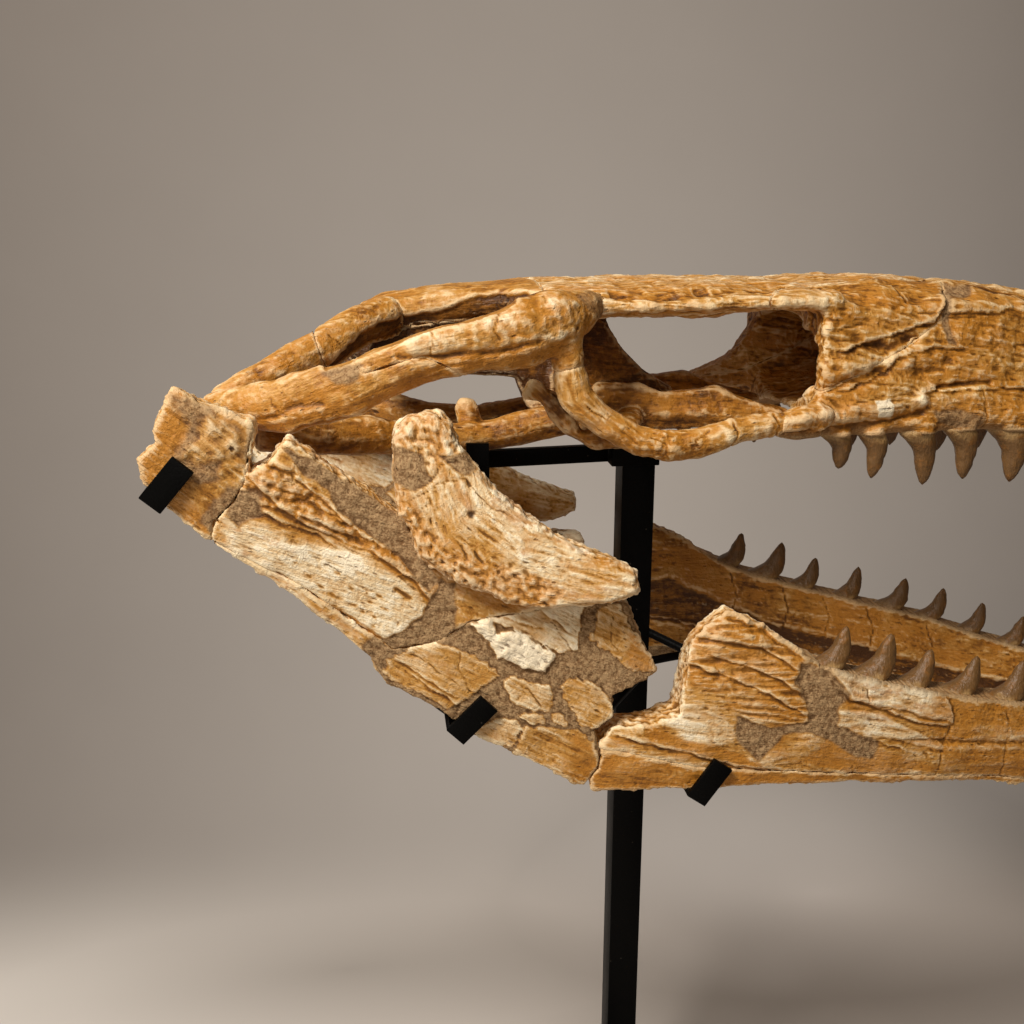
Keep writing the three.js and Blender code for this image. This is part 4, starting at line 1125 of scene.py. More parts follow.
def cut_back(name, x, z):
    """Positive, as outside a solid, over the plain crowns and over the arch."""
    if name.startswith(("postorbitofrontal", "squamosal")):
        return np.where((x > -250) & (x < -100), z - on_line(ARCH_TOP, x), KEEP)
    if name.startswith(("maxilla", "premaxilla")):
        return on_line(UPPER_MARGIN, x) - 0.4 - z
    if name.startswith("dentary"):
        return np.where(x > 104, z - on_line(LOWER_MARGIN, x) - 0.6, KEEP)
    if name.startswith("pterygoid"):
        return np.where(x > -40, -2.0 - z, KEEP)
    return KEEP + 0 * x + 0 * z


print("the upper margin spans", UPPER_MARGIN[-1][0] - UPPER_MARGIN[0][0], "mm")

# %% [markdown]
# ## Places for teeth
# The rear teeth are each given by hand, and the ones before them shrink evenly toward the snout.
# Under every tooth the bone swells, dips again before the next and closes round it in a rim.

# %% Places for teeth
def row_of(teeth, pitch, total, width, height):
    """The rear teeth are each given, and the ones before them shrink evenly toward the snout."""
    teeth = list(teeth)
    while len(teeth) < total:
        number = len(teeth) - 4
        teeth.append((teeth[-1][0] + pitch, width[0] - width[1] * number,
                      height[0] - height[1] * number, 0.0))
    return teeth


# For each tooth: where its base is along the skull, its width and height in mm, and how far it tips
# forwards, in radians.
UPPER_TEETH = row_of([(129, 21, 25, -0.06), (157, 21, 33, -0.05), (194, 25, 42, 0.09), (229, 25, 39, 0.03),
                      (269, 28, 41, 0.0)], 35, 11, (26, 0.7), (40, 1.4))
FRONT_TEETH = [(526, 19, 29, 0.1), (558, 17, 25, 0.15)]
LOWER_TEETH = row_of([(116, 26, 29, 0.0), (150, 30, 32, 0.02), (185, 26, 27, 0.0), (225, 26, 28, 0.03),
                      (266, 27, 29, 0.0)], 36, 13, (25, 0.4), (29, 0.7))
PALATE_TEETH = [(-26 + 26 * number, 11, 13, 0.0) for number in range(5)]


def sockets(skin, teeth, margin, toward):
    """Bone swells round the root of every tooth, dips between them and meets the teeth in a rim."""
    above = (on_line(margin, skin["x"]) - skin["z"]) * toward
    edge = np.exp(-((above + 6) / 8) ** 2) * np.abs(skin["out"][:, 1])
    swell = sum(np.exp(-((skin["x"] - tooth[0]) / (0.5 * tooth[1])) ** 2) for tooth in teeth)
    skin["rise"] += edge * (3.2 * swell - 1.5)
    rim = step_up(0.25, 0.75, skin["out"][:, 2] * toward) * np.exp(-(above / 5) ** 4)
    skin["rise"] = skin["rise"] * (1 - rim) + rim * (1.0 + swell)
    skin["cream"] -= 0.15 * rim
    skin["filler"] += 0.75 * rim                               # the matrix left round the roots


print(len(UPPER_TEETH + FRONT_TEETH), "teeth above and", len(LOWER_TEETH), "below on each side")

# %% [markdown]
# ## All the bones
# The bones are rounded in groups that touch: the skull, each jaw and each coronoid. The blur, in mm,
# is wide for the heavy skull and narrow for the crisp plates of the right jaw. The left jaw stands
# behind everything, so its cubes can be coarser.

# %% All the bones
def weathered(names, voxel, soften, trim=None):
    """Rounds a group of bones together, weathers each of them and sets it in its place."""
    total = 0
    for name, (points, faces, wall) in rounded_bones(names, voxel, soften, trim).items():
        stem = name.removesuffix("_left").removesuffix("_right")
        side = 1.0 if name.endswith("_left") else -1.0
        if name in ("dentary_left", "splenial_left"):
            side = -1.0                 # the left jaw's inner face is the one with the deep channel
        skin = new_skin(points, faces, side, GRAIN[stem])
        skin["wall"] = wall
        KIND_OF[stem](skin, 40 + len(names))
        if stem in ("maxilla", "premaxilla"):
            sockets(skin, UPPER_TEETH + FRONT_TEETH, UPPER_MARGIN, -1)
        if stem == "dentary":
            sockets(skin, LOWER_TEETH, LOWER_MARGIN, 1)
        if name in CRUSHED:
            mosaic(skin, CRUSHED[name], 0.10, names.index(name) + 3)
        if name in MARKS:
            MARKS[name](skin)
        place(bone_mesh(name, skin, faces), "fossil_" + name, stands_for=[name])
        total += len(faces)
    print(f"{len(names)} bones with {total} faces")


bone_names = [name for name in nodes if not name.startswith("stand_")]
jaw_stems = ("angular", "articular", "dentary", "splenial", "surangular")
skull_names = sorted(n for n in bone_names if not n.startswith(jaw_stems) and "coronoid" not in n)
right_jaw = sorted(n for n in bone_names if n.startswith(jaw_stems) and n.endswith("_right"))
left_jaw = sorted(n for n in bone_names if n.startswith(jaw_stems) and n.endswith("_left"))
weathered(skull_names, VOXEL, 2.2, trim=cut_back)
weathered(right_jaw, VOXEL, 0.9, trim=cut_back)
weathered(["coronoid_right"], VOXEL, 1.3)
coarse = 1.25 * VOXEL
weathered(left_jaw, coarse, 1.3, trim=cut_back)
weathered(["coronoid_left"], coarse, 1.3)

# %% [markdown]
# ## Two helpers for finishes
# Colours are picked as screen values, which Blender's shaders read as linear light, so one function
# turns a hex value into linear. A second adds a node to any tree: it sets the node's options, and
# fills each socket with a value or a link.

# %% Colour and nodes
def colour(code):
    """A hex screen colour as linear red, green, blue and alpha."""
    screen = [int(code[i:i + 2], 16) / 255 for i in (1, 3, 5)]
    return [c / 12.92 if c <= 0.04045 else ((c + 0.055) / 1.055) ** 2.4 for c in screen] + [1.0]


def add(tree, kind, options=None, sockets=None):
    """A new node, with its options set and its sockets filled with values or links."""
    node = tree.nodes.new(kind)
    for key, value in (options or {}).items():
        setattr(node, key, value)
    for key, value in (sockets or {}).items():
        if isinstance(value, bpy.types.NodeSocket):
            tree.links.new(value, node.inputs[key])
        else:
            node.inputs[key].default_value = value
    return node


print("bone ochre in linear light:", [round(c, 3) for c in colour("#b47a35")[:3]])

# %% [markdown]
# ## The fossil bone finish
# Fossil bone is bone whose pores filled with minerals in the ground. Its look is matt to faintly
# waxed stone. The colour comes from iron in the groundwater: ochre and orange where it soaked in and
# cream where the dense outer layer kept it out. The hollows are painted brown, as shade. The
# attributes made above say where each of these is. What is smaller than the mesh comes from noise,
# some of it read on the grain, so that it is drawn out along the fibres.

# %% Patterns of fossil bone
def per_mm(size):
    """The scale of a pattern whose features are size mm wide, on coordinates in metres."""
    return 1000 / size


def patterns(tree):
    """The mesh's attributes and the noises, by name."""
    where = add(tree, "ShaderNodeTexCoord").outputs["Object"]
    grain = add(tree, "ShaderNodeAttribute", {"attribute_name": "grain"}).outputs["Vector"]
    value = {key: add(tree, "ShaderNodeAttribute", {"attribute_name": key}).outputs["Fac"]
             for key in ("cream", "filler", "stain", "gap", "relief")}
    for key, vector, size, detail, roughness, twist in [
        ("threads", grain, 1.5, 2.0, 0.6, 0.0),         # single fibres, 1 to 2 mm wide
        ("streaks", grain, 3.2, 3.0, 0.6, 0.3),         # strips of the outer layer
        ("blotches", where, 24.0, 3.0, 0.6, 0.0),       # patches of mineral stain
        ("mottle", where, 5.0, 3.0, 0.65, 0.0),         # uneven wear of the varnish
        ("curls", where, 6.5, 2.0, 0.6, 1.2),           # curled edges of thin flakes
        ("grit", where, 1.3, 2.0, 0.55, 0.0),           # sand grains in the filler, about 1 mm
    ]:
        value[key] = add(tree, "ShaderNodeTexNoise", {}, {
            "Vector": vector, "Scale": per_mm(size), "Detail": detail, "Roughness": roughness,
            "Distortion": twist}).outputs["Fac"]
    slotted = add(tree, "ShaderNodeMapping", {}, {"Vector": grain, "Scale": (2.4, 1.0, 1.0)})
    value["specks"] = add(tree, "ShaderNodeTexVoronoi", {}, {      # vessel slots, 1 mm by 3 mm
        "Vector": slotted.outputs[0], "Scale": per_mm(5.0), "Randomness": 1.0}).outputs["Distance"]
    return value


print("a 5 mm pattern has a scale of", per_mm(5.0))

# %% [markdown]
# The patterns are then weighed against each other. The tone is the place on a colour ramp from dark
# earth to pale cream, and the relief adds painted light to it. Every other sum is cut at two values,
# low and high, with a soft step between, which gives a mask: where the orange shows, where the edges
# stand proud and get a painted highlight, where hollows get painted shade, and so on.

# %% Masks of fossil bone
def add_masks(tree, value, shade, warmth):
    """Adds the tone and the masks to the patterns. A sum is a start and its weighted parts."""
    # The relief in the tone is painted light: proud points come out paler and hollows darker.
    for key, start, parts in [
        ("tone", shade - 0.79, [("cream", 1.0), ("threads", 0.28), ("streaks", 0.26), ("blotches", 0.62),
                                ("mottle", 0.26), ("curls", 0.16), ("relief", 0.24)]),
        ("peel", 0.0, [("stain", 1.0), ("streaks", 0.8), ("mottle", 1.0), ("threads", 0.6)]),
        ("hollow", 0.0, [("relief", -1.0)]),
        ("sandy", 0.0, [("grit", 0.55), ("mottle", 0.45)]),
    ]:
        total = start
        for source, weight in parts:
            total = add(tree, "ShaderNodeMath", {"operation": "MULTIPLY_ADD"},
                        {0: value[source], 1: weight, 2: total}).outputs[0]
        value[key] = total
    # proud is a painted highlight on raised points, and shade is painted shade in the hollows.
    for key, source, low, high, top in [
        ("orange", "peel", 1.40, 1.85, 0.72 * warmth), ("slots", "specks", 0.17, 0.07, 0.60),
        ("proud", "relief", 0.20, 0.90, 0.40), ("shade", "hollow", 0.10, 0.75, 0.66),
        ("dark", "gap", 0.10, 0.90, 0.88), ("stipple", "sandy", 0.38, 0.60, 1.0),
        ("lines", "threads", 0.42, 0.30, 0.34),
    ]:
        value[key] = add(tree, "ShaderNodeMapRange", {"interpolation_type": "SMOOTHSTEP"}, {
            "Value": value[source], "From Min": low, "From Max": high, "To Max": top}).outputs["Result"]


print("a mask at 0.3 on its way from 0.1 to 0.75 is", round(float(step_up(0.1, 0.75, 0.3)), 2))

# %% [markdown]
# The colours are laid over each other in this order: the bone's own tone, the orange stain, the brown
# between fibres and in vessel slots, a painted highlight on proud edges, then the filler with its sand,
# painted shade in the hollows, and the dark of cracks, holes and painted shadow lines. Filler is
# rougher than bone.

# %% Fossil bone
def empty_material(name):
    """A new material, with nothing in its tree."""
    material = bpy.data.materials.new(name)
    material.use_nodes = True
    material.node_tree.nodes.clear()
    return material, material.node_tree


def fossil(name, shade=0.0, warmth=1.0):
    """Matt fossil bone. A negative shade is darker, and warmth is the strength of the orange."""
    material, tree = empty_material(name)
    value = patterns(tree)
    add_masks(tree, value, shade, warmth)
    ramp = add(tree, "ShaderNodeValToRGB", {}, {"Fac": value["tone"]})
    elements = ramp.color_ramp.elements
    elements[0].position, elements[0].color = 0.0, colour("#4e2b08")
    elements[1].position, elements[1].color = 1.0, colour("#f7e8cb")
    for position, code in [(0.2, "#7f4f18"), (0.38, "#a97229"), (0.55, "#c4914a"), (0.72, "#d8b280"),
                           (0.86, "#e8cea4")]:
        elements.new(position).color = colour(code)
    surface = ramp.outputs["Color"]
    sand = add(tree, "ShaderNodeMix", {"data_type": "RGBA"},
               {0: value["stipple"], 6: colour("#7c5c3a"), 7: colour("#ae8e66")}).outputs[2]
    # proud paints a highlight, shade paints shade in the hollows, and dark marks cracks, holes and painted
    # shadow lines.
    for factor, over in [
        ("orange", colour("#b87825")), ("lines", colour("#8f5c20")), ("slots", colour("#7d4a17")),
        ("proud", colour("#f5deb2")), ("filler", sand), ("shade", colour("#573309")),
        ("dark", colour("#2e1806")),
    ]:
        surface = add(tree, "ShaderNodeMix", {"data_type": "RGBA"},
                      {0: value[factor], 6: surface, 7: over}).outputs[2]

    height = 0.0
    for source, weight in [("threads", 0.34), ("streaks", 0.30), ("mottle", 0.34), ("curls", 0.34),
                           ("grit", 0.15), ("orange", -0.12), ("slots", -0.35)]:
        height = add(tree, "ShaderNodeMath", {"operation": "MULTIPLY_ADD"},
                     {0: value[source], 1: weight, 2: height}).outputs[0]
    bump = add(tree, "ShaderNodeBump", {}, {"Height": height, "Distance": 0.0024, "Strength": 1.0})
    gloss = add(tree, "ShaderNodeMapRange", {}, {
        "Value": value["filler"], "To Min": 0.52, "To Max": 0.85}).outputs["Result"]
    shader = add(tree, "ShaderNodeBsdfPrincipled", {}, {
        "Base Color": surface, "Roughness": gloss, "Normal": bump.outputs["Normal"],
        "IOR": 1.5, "Specular IOR Level": 0.35})
    add(tree, "ShaderNodeOutputMaterial", {}, {"Surface": shader.outputs["BSDF"]})
    return material


print("a finish is given its name, its shade and its warmth")

# %% [markdown]
# Three versions of it dress the bones. The jaws have it as it is, the varnished skull is a little
# warmer, and the bones deep inside are painted darker, as shade.

# %% Three fossil finishes
jaw_bone = fossil("iron_stained_fossil_bone_of_the_jaws")
skull_bone = fossil("varnished_fossil_bone_of_the_skull", shade=-0.02, warmth=1.1)
# The inner bones and the far jaw are painted darker, as shade, by a negative shade value.
inner_bone = fossil("earth_stained_inner_fossil_bone", shade=-0.22, warmth=0.9)
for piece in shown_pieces():
    if piece.name.startswith("fossil_"):
        stem = piece.name.removeprefix("fossil_").removesuffix("_left").removesuffix("_right")
        inner = stem in ("braincase", "pterygoid", "ectopterygoid") or piece.name == "fossil_dentary_left"
        piece.data.materials.append(inner_bone if inner else jaw_bone if stem in KINDS[plated]
                                    else skull_bone)
print(len(jaw_bone.node_tree.nodes), "nodes in a fossil finish")

# %% [markdown]
# ## The teeth
# A mosasaur's tooth is a cone of dense enamel on a swollen pedestal of bone that flares into the
# jaw. The front edge is convex, the rear edge hollow, and the point leans. All the teeth are one
# shape at many sizes, so Geometry Nodes make them: a cylinder with many rings is bent into a tooth
# once, and an instance of it is set on each point of a row. The points carry the sizes.

# %% One tooth in nodes
BURIED = 0.24                           # how much of a tooth's height stands in the jaw below the margin


def tooth_shape(tree, given):
    """One tooth, 1 high above the margin and 1 in radius, with the height stored at each point."""
    cone = add(tree, "GeometryNodeMeshCylinder", {}, {
        "Vertices": 28, "Side Segments": 22, "Radius": 1.0, "Depth": 1.0}).outputs["Mesh"]
    spot = add(tree, "GeometryNodeInputPosition").outputs[0]
    spot = add(tree, "ShaderNodeSeparateXYZ", {}, {0: spot}).outputs
    part = add(tree, "ShaderNodeMath", {"operation": "ADD"}, {0: spot["Z"], 1: 0.5}).outputs[0]
    girth = add(tree, "ShaderNodeFloatCurve", {}, {"Value": part})
    curve = girth.mapping.curves[0]
    # Half width against height, from the buried end below the margin at 0 to the tip at 1.
    profile = [(-BURIED, 0.12), (-0.12, 0.50), (0.0, 0.90), (0.12, 0.88), (0.30, 0.76), (0.49, 0.63),
               (0.68, 0.53), (0.82, 0.40), (0.92, 0.27), (0.97, 0.17), (1.0, 0.04)]
    for number, (level, width) in enumerate(profile):
        point = curve.points[number] if number < 2 else curve.points.new(level, width)
        point.location = ((level + BURIED) / (1 + BURIED), width)
    girth.mapping.update()

    # One row for each sum: its name, what it does and what it takes. The front edge of the tooth is
    # full and the rear edge hollow, because the middle line swings forwards and the skirt is behind.
    term = {"x": spot["X"], "y": spot["Y"], "part": part, "girth": girth.outputs[0],
            "lean": given["Lean"], "skirt": given["Skirt"], "taper": given["Taper"]}
    for name, operation, *takes in [
        ("along", "MULTIPLY_ADD", "part", 1 + BURIED, -BURIED),
        ("left", "SUBTRACT", 0.42, "along"), ("low", "MAXIMUM", "left", 0.0),
        ("flare", "MULTIPLY", "low", "low"), ("back", "MULTIPLY", "x", -1.0),
        ("behind", "MAXIMUM", "back", 0.0), ("drape", "MULTIPLY", "behind", "skirt"),
        ("root", "MINIMUM", "part", 0.19), ("open", "MULTIPLY", "root", 5.2),
        ("hem", "MULTIPLY", "flare", "open"), ("up", "MAXIMUM", "along", 0.0),
        ("climb", "MULTIPLY", "up", 1.9), ("capped", "MINIMUM", "climb", 1.0),
        ("rest", "SUBTRACT", 1.0, "capped"), ("square", "MULTIPLY", "rest", "rest"),
        ("bend", "MULTIPLY_ADD", "square", -0.52, 0.52), ("end", "MULTIPLY", "up", "up"),
        ("curl", "MULTIPLY_ADD", "end", -0.12, "bend"), ("middle", "MULTIPLY_ADD", "up", "lean", "curl"),
        ("loss", "MULTIPLY", "up", "taper"), ("thin", "SUBTRACT", 1.0, "loss"),
        ("waist", "MULTIPLY", "girth", "thin"), ("wide", "MULTIPLY_ADD", "hem", "drape", "waist"),
        ("new x", "MULTIPLY_ADD", "x", "wide", "middle"), ("new y", "MULTIPLY", "y", "waist"),
    ]:
        term[name] = add(tree, "ShaderNodeMath", {"operation": operation},
                         {k: term.get(take, take) for k, take in enumerate(takes)}).outputs[0]
    moved = add(tree, "ShaderNodeCombineXYZ", {}, {
        0: term["new x"], 1: term["new y"], 2: term["along"]})
    tooth = add(tree, "GeometryNodeSetPosition", {}, {"Geometry": cone, "Position": moved.outputs[0]})
    return add(tree, "GeometryNodeStoreNamedAttribute", {"data_type": "FLOAT", "domain": "POINT"}, {
        "Geometry": tooth.outputs[0], "Name": "height_on_tooth", "Value": term["along"]}).outputs[0]


print("a tooth of 40 mm is set", 40 * BURIED, "mm deep")

# %% [markdown]
# Instance on Points sets the tooth on each point, with the size and the tip that the point carries
# and a small random tilt. The export drops instances, so they are made real, and a little noise
# then wears every tooth differently.

# %% A tree that grows a row of teeth
def tooth_tree(material):
    tree = bpy.data.node_groups.new("row_of_teeth", "GeometryNodeTree")
    for name, kind, default in [("Rows", "NodeSocketGeometry", None), ("Lean", "NodeSocketFloat", 0.0),
                                ("Skirt", "NodeSocketFloat", 2.0), ("Taper", "NodeSocketFloat", 0.0),
                                ("Hang", "NodeSocketFloat", 0.0), ("Seed", "NodeSocketInt", 1)]:
        socket = tree.interface.new_socket(name, in_out="INPUT", socket_type=kind)
        if default is not None:
            socket.default_value = default
    tree.interface.new_socket("Teeth", in_out="OUTPUT", socket_type="NodeSocketGeometry")
    given = add(tree, "NodeGroupInput").outputs
    tooth = tooth_shape(tree, given)
    size = {key: add(tree, "GeometryNodeInputNamedAttribute", {"data_type": "FLOAT"},
                     {"Name": key}).outputs[0] for key in ("width", "height", "tip")}
    scale = add(tree, "ShaderNodeCombineXYZ", {}, {
        0: add(tree, "ShaderNodeMath", {"operation": "MULTIPLY"}, {0: size["width"], 1: 0.5}).outputs[0],
        1: add(tree, "ShaderNodeMath", {"operation": "MULTIPLY"}, {0: size["width"], 1: 0.4}).outputs[0],
        2: size["height"]})
    tilt = add(tree, "FunctionNodeRandomValue", {"data_type": "FLOAT_VECTOR"}, {
        0: (-0.05, -0.03, -0.2), 1: (0.05, 0.03, 0.2), "Seed": given["Seed"]}).outputs[0]
    hung = add(tree, "ShaderNodeCombineXYZ", {}, {0: given["Hang"], 1: size["tip"]}).outputs[0]
    turn = add(tree, "ShaderNodeVectorMath", {"operation": "ADD"}, {0: tilt, 1: hung}).outputs[0]
    row = add(tree, "GeometryNodeInstanceOnPoints", {}, {
        "Points": given["Rows"], "Instance": tooth, "Rotation": turn, "Scale": scale.outputs[0]})
    row = add(tree, "GeometryNodeRealizeInstances", {}, {"Geometry": row.outputs[0]})
    wear = add(tree, "ShaderNodeTexNoise", {}, {"Scale": per_mm(6.0), "Detail": 3.0}).outputs["Color"]
    wear = add(tree, "ShaderNodeVectorMath", {"operation": "SUBTRACT"}, {0: wear, 1: (0.5, 0.5, 0.5)})
    wear = add(tree, "ShaderNodeVectorMath", {"operation": "SCALE"}, {0: wear.outputs[0], "Scale": 0.0024})
    row = add(tree, "GeometryNodeSetPosition", {}, {"Geometry": row.outputs[0], "Offset": wear.outputs[0]})
    row = add(tree, "GeometryNodeSetShadeSmooth", {}, {"Geometry": row.outputs[0]})
    row = add(tree, "GeometryNodeSetMaterial", {}, {"Geometry": row.outputs[0], "Material": material})
    add(tree, "NodeGroupOutput", {}, {"Teeth": row.outputs[0]})
    return tree


print("the tree is ready, and takes a finish")

# %% [markdown]
# Tooth enamel is denser than bone, so it took up a darker brown and keeps a low shine. The pedestal
# below it is bone, and looks like the jaw it stands in.

# %% Tooth enamel
def tooth_material():
    material, tree = empty_material("brown_fossil_tooth_enamel")
    where = add(tree, "ShaderNodeTexCoord").outputs["Object"]
    rise = add(tree, "ShaderNodeAttribute", {"attribute_name": "height_on_tooth"}).outputs["Fac"]
    blotches = add(tree, "ShaderNodeTexNoise", {}, {
        "Vector": where, "Scale": per_mm(8.0), "Detail": 5.0, "Roughness": 0.65}).outputs["Fac"]
    tall = add(tree, "ShaderNodeMapping", {}, {"Vector": where, "Scale": (1.0, 1.0, 0.12)})
    lines = add(tree, "ShaderNodeTexNoise", {}, {      # the fine ribs that run up a crown, 1.5 mm apart
        "Vector": tall.outputs[0], "Scale": per_mm(1.5), "Detail": 3.0}).outputs["Fac"]
    level = add(tree, "ShaderNodeMath", {"operation": "MULTIPLY_ADD"}, {0: blotches, 1: 0.7, 2: rise})
    ramp = add(tree, "ShaderNodeValToRGB", {}, {"Fac": level.outputs[0]})
    elements = ramp.color_ramp.elements
    elements[0].position, elements[0].color = 0.18, colour("#d6a65c")
    elements[1].position, elements[1].color = 1.0, colour("#6f4f2a")
    for position, code in [(0.42, "#c68f42"), (0.56, "#b98f55"), (0.68, "#c4a06c"), (0.80, "#a58252"),
                           (0.92, "#84633a")]:
        elements.new(position).color = colour(code)
    spread = add(tree, "ShaderNodeMapRange", {}, {
        "Value": lines, "From Min": 0.3, "From Max": 0.7, "To Min": 0.78}).outputs["Result"]
    lined = add(tree, "ShaderNodeMix", {"data_type": "RGBA", "blend_type": "MULTIPLY"}, {
        0: 1.0, 6: ramp.outputs["Color"], 7: spread})
    stains = add(tree, "ShaderNodeMapRange", {"interpolation_type": "SMOOTHSTEP"}, {
        "Value": blotches, "From Min": 0.50, "From Max": 0.66, "To Max": 0.55}).outputs["Result"]
    stained = add(tree, "ShaderNodeMix", {"data_type": "RGBA"}, {
        0: stains, 6: lined.outputs[2], 7: colour("#8a5a22")})
    shine = add(tree, "ShaderNodeMapRange", {}, {
        "Value": rise, "From Min": 0.2, "From Max": 0.5, "To Min": 0.6, "To Max": 0.42})
    height = add(tree, "ShaderNodeMath", {"operation": "MULTIPLY_ADD"}, {0: blotches, 1: 3.0, 2: lines})
    bump = add(tree, "ShaderNodeBump", {}, {"Height": height.outputs[0], "Distance": 0.0006})
    shader = add(tree, "ShaderNodeBsdfPrincipled", {}, {
        "Base Color": stained.outputs[2], "Roughness": shine.outputs["Result"],
        "Normal": bump.outputs["Normal"], "IOR": 1.5})
    add(tree, "ShaderNodeOutputMaterial", {}, {"Surface": shader.outputs["BSDF"]})
    return material


TEETH = tooth_tree(tooth_material())
print(len(TEETH.nodes), "nodes grow a row of teeth")

# %% [markdown]
# The tooth rows follow the jaws. Each row starts as a mesh of bare points that carry every tooth's
# width, height and tip. The tree's inputs are set by their identifiers, and the evaluated result is
# kept as a plain mesh.

# %% Teeth in their rows
SNOUT_LOW = [(111, 87), (160, 84), (230, 75), (310, 65), (400, 54), (490, 42), (555, 31), (588, 19)]
JAW_MIDDLE = [(-340, 140), (-200, 124), (-55, 121), (124, 117), (274, 98), (450, 57), (585, 17)]
INSET = 13.5                            # from the snout's edge to the middle of its tooth row, in mm
PALATE_HALF = 38                        # from the middle of the skull to a row on the palate, in mm


def upper_place(x, side):
    return x, side * (on_line(SNOUT_LOW, x) - INSET), on_line(UPPER_MARGIN, x) - 1


def lower_place(x, side):
    return x, side * on_line(JAW_MIDDLE, x), on_line(LOWER_MARGIN, x)


def palate_place(x, side):
    return x, side * PALATE_HALF, 0


def applied(holder):
    """The plain mesh that an object's modifiers make, under the object's name. The object goes."""
    view_layer = bpy.context.evaluated_depsgraph_get()
    mesh = bpy.data.meshes.new_from_object(holder.evaluated_get(view_layer), depsgraph=view_layer)
    name = holder.name
    bpy.data.objects.remove(holder)
    mesh.name = name
    return mesh


def grown(name, points, edges, tree, settings, per_point=None):
    """The plain mesh that a tree grows from points in mm, from the edges between them or both."""
    start = bpy.data.meshes.new("start")
    start.from_pydata([(x / 1000, y / 1000, (z + MOUTH) / 1000) for x, y, z in points], edges, [])
    for key, values in (per_point or {}).items():
        start.attributes.new(key, "FLOAT", "POINT").data.foreach_set("value", values)
    holder = in_scene(name, start)
    modifier = holder.modifiers.new("tree", "NODES")
    modifier.node_group = tree
    inputs = {item.name: item.identifier for item in tree.interface.items_tree}
    for key, number in settings.items():
        modifier[inputs[key]] = number
    return applied(holder)


def tooth_row(name, teeth, place_at, side, **settings):
    """One piece: a row of teeth."""
    forward = -1.0 if settings["Hang"] else 1.0             # a hanging tooth is turned upside down
    mesh = grown(name, [place_at(tooth[0], side) for tooth in teeth], [], TEETH, settings, {
        "width": [tooth[1] * 0.001 for tooth in teeth],
        "height": [tooth[2] * 0.001 for tooth in teeth],
        "tip": [tooth[3] * forward for tooth in teeth]})
    place(mesh, name)
    return len(mesh.polygons)


faces_made = 0
for side, word in ((-1, "right"), (1, "left")):
    for row, teeth, place_at, lean, skirt, taper, hang, seed in [
        ("upper", UPPER_TEETH, upper_place, 0.05, 2.2, 0.0, math.pi, 3),
        ("front", FRONT_TEETH, upper_place, 0.20, 1.8, 0.0, math.pi, 6),
        ("lower", LOWER_TEETH, lower_place, 0.60, 7.0, 0.35, 0.0, 9),
        ("palate", PALATE_TEETH, palate_place, 0.0, 1.2, 0.0, math.pi, 12),
    ]:
        faces_made += tooth_row(f"teeth_{row}_{word}", teeth, place_at, side, Lean=lean, Skirt=skirt,
                                Taper=taper, Hang=hang, Seed=seed + side)
print("teeth with", faces_made, "faces")

# %% [markdown]
# ## The steel stand
# Museum stands are welded from mild steel bar and flat strap, then sprayed with a satin black
# coating that is slightly pebbled and catches dust.

# %% Black coated steel
def coated_steel():
    material, tree = empty_material("satin_black_powder_coated_steel")
    where = add(tree, "ShaderNodeTexCoord").outputs["Object"]
    pebbles = add(tree, "ShaderNodeTexNoise", {}, {     # pebbling of a sprayed coat, about 1.5 mm
        "Vector": where, "Scale": per_mm(1.5), "Detail": 3.0}).outputs["Fac"]
    clouds = add(tree, "ShaderNodeTexNoise", {}, {
        "Vector": where, "Scale": per_mm(30.0), "Detail": 5.0, "Roughness": 0.65}).outputs["Fac"]
    dust = add(tree, "ShaderNodeTexVoronoi", {}, {      # single specks of dust, 9 mm apart
        "Vector": where, "Scale": per_mm(9.0)}).outputs["Distance"]
    speck = add(tree, "ShaderNodeMapRange", {}, {
        "Value": dust, "From Min": 0.075, "From Max": 0.03, "To Max": 0.5}).outputs["Result"]
    veil = add(tree, "ShaderNodeMapRange", {}, {
        "Value": clouds, "From Min": 0.45, "From Max": 0.75, "To Max": 0.35}).outputs["Result"]
    surface = add(tree, "ShaderNodeMix", {"data_type": "RGBA"}, {
        0: veil, 6: colour("#020202"), 7: colour("#090807")}).outputs[2]
    surface = add(tree, "ShaderNodeMix", {"data_type": "RGBA"}, {
        0: speck, 6: surface, 7: colour("#5c554d")}).outputs[2]
    rough_at = add(tree, "ShaderNodeMapRange", {}, {
        "Value": clouds, "To Min": 0.34, "To Max": 0.56}).outputs["Result"]
    bump = add(tree, "ShaderNodeBump", {}, {"Height": pebbles, "Distance": 0.00025})
    shader = add(tree, "ShaderNodeBsdfPrincipled", {}, {
        "Base Color": surface, "Roughness": rough_at, "Normal": bump.outputs["Normal"], "IOR": 1.45,
        "Specular IOR Level": 0.10})
    add(tree, "ShaderNodeOutputMaterial", {}, {"Surface": shader.outputs["BSDF"]})
    return material


STEEL = coated_steel()
print(len(STEEL.node_tree.nodes), "nodes in the black coating")

# %% [markdown]
# The bars and straps keep the frame's own shape, with small rounded edges, because sprayed steel
# never shows a razor edge. A Bevel modifier rounds them, after the triangles of each flat side have
# been joined.

# %% Bars, straps and plates
EDGE = 0.0007                           # radius of the coated edges, in metres
ROUND_RODS = ("stand_spine_left", "stand_spine_right", "stand_cross_rod")


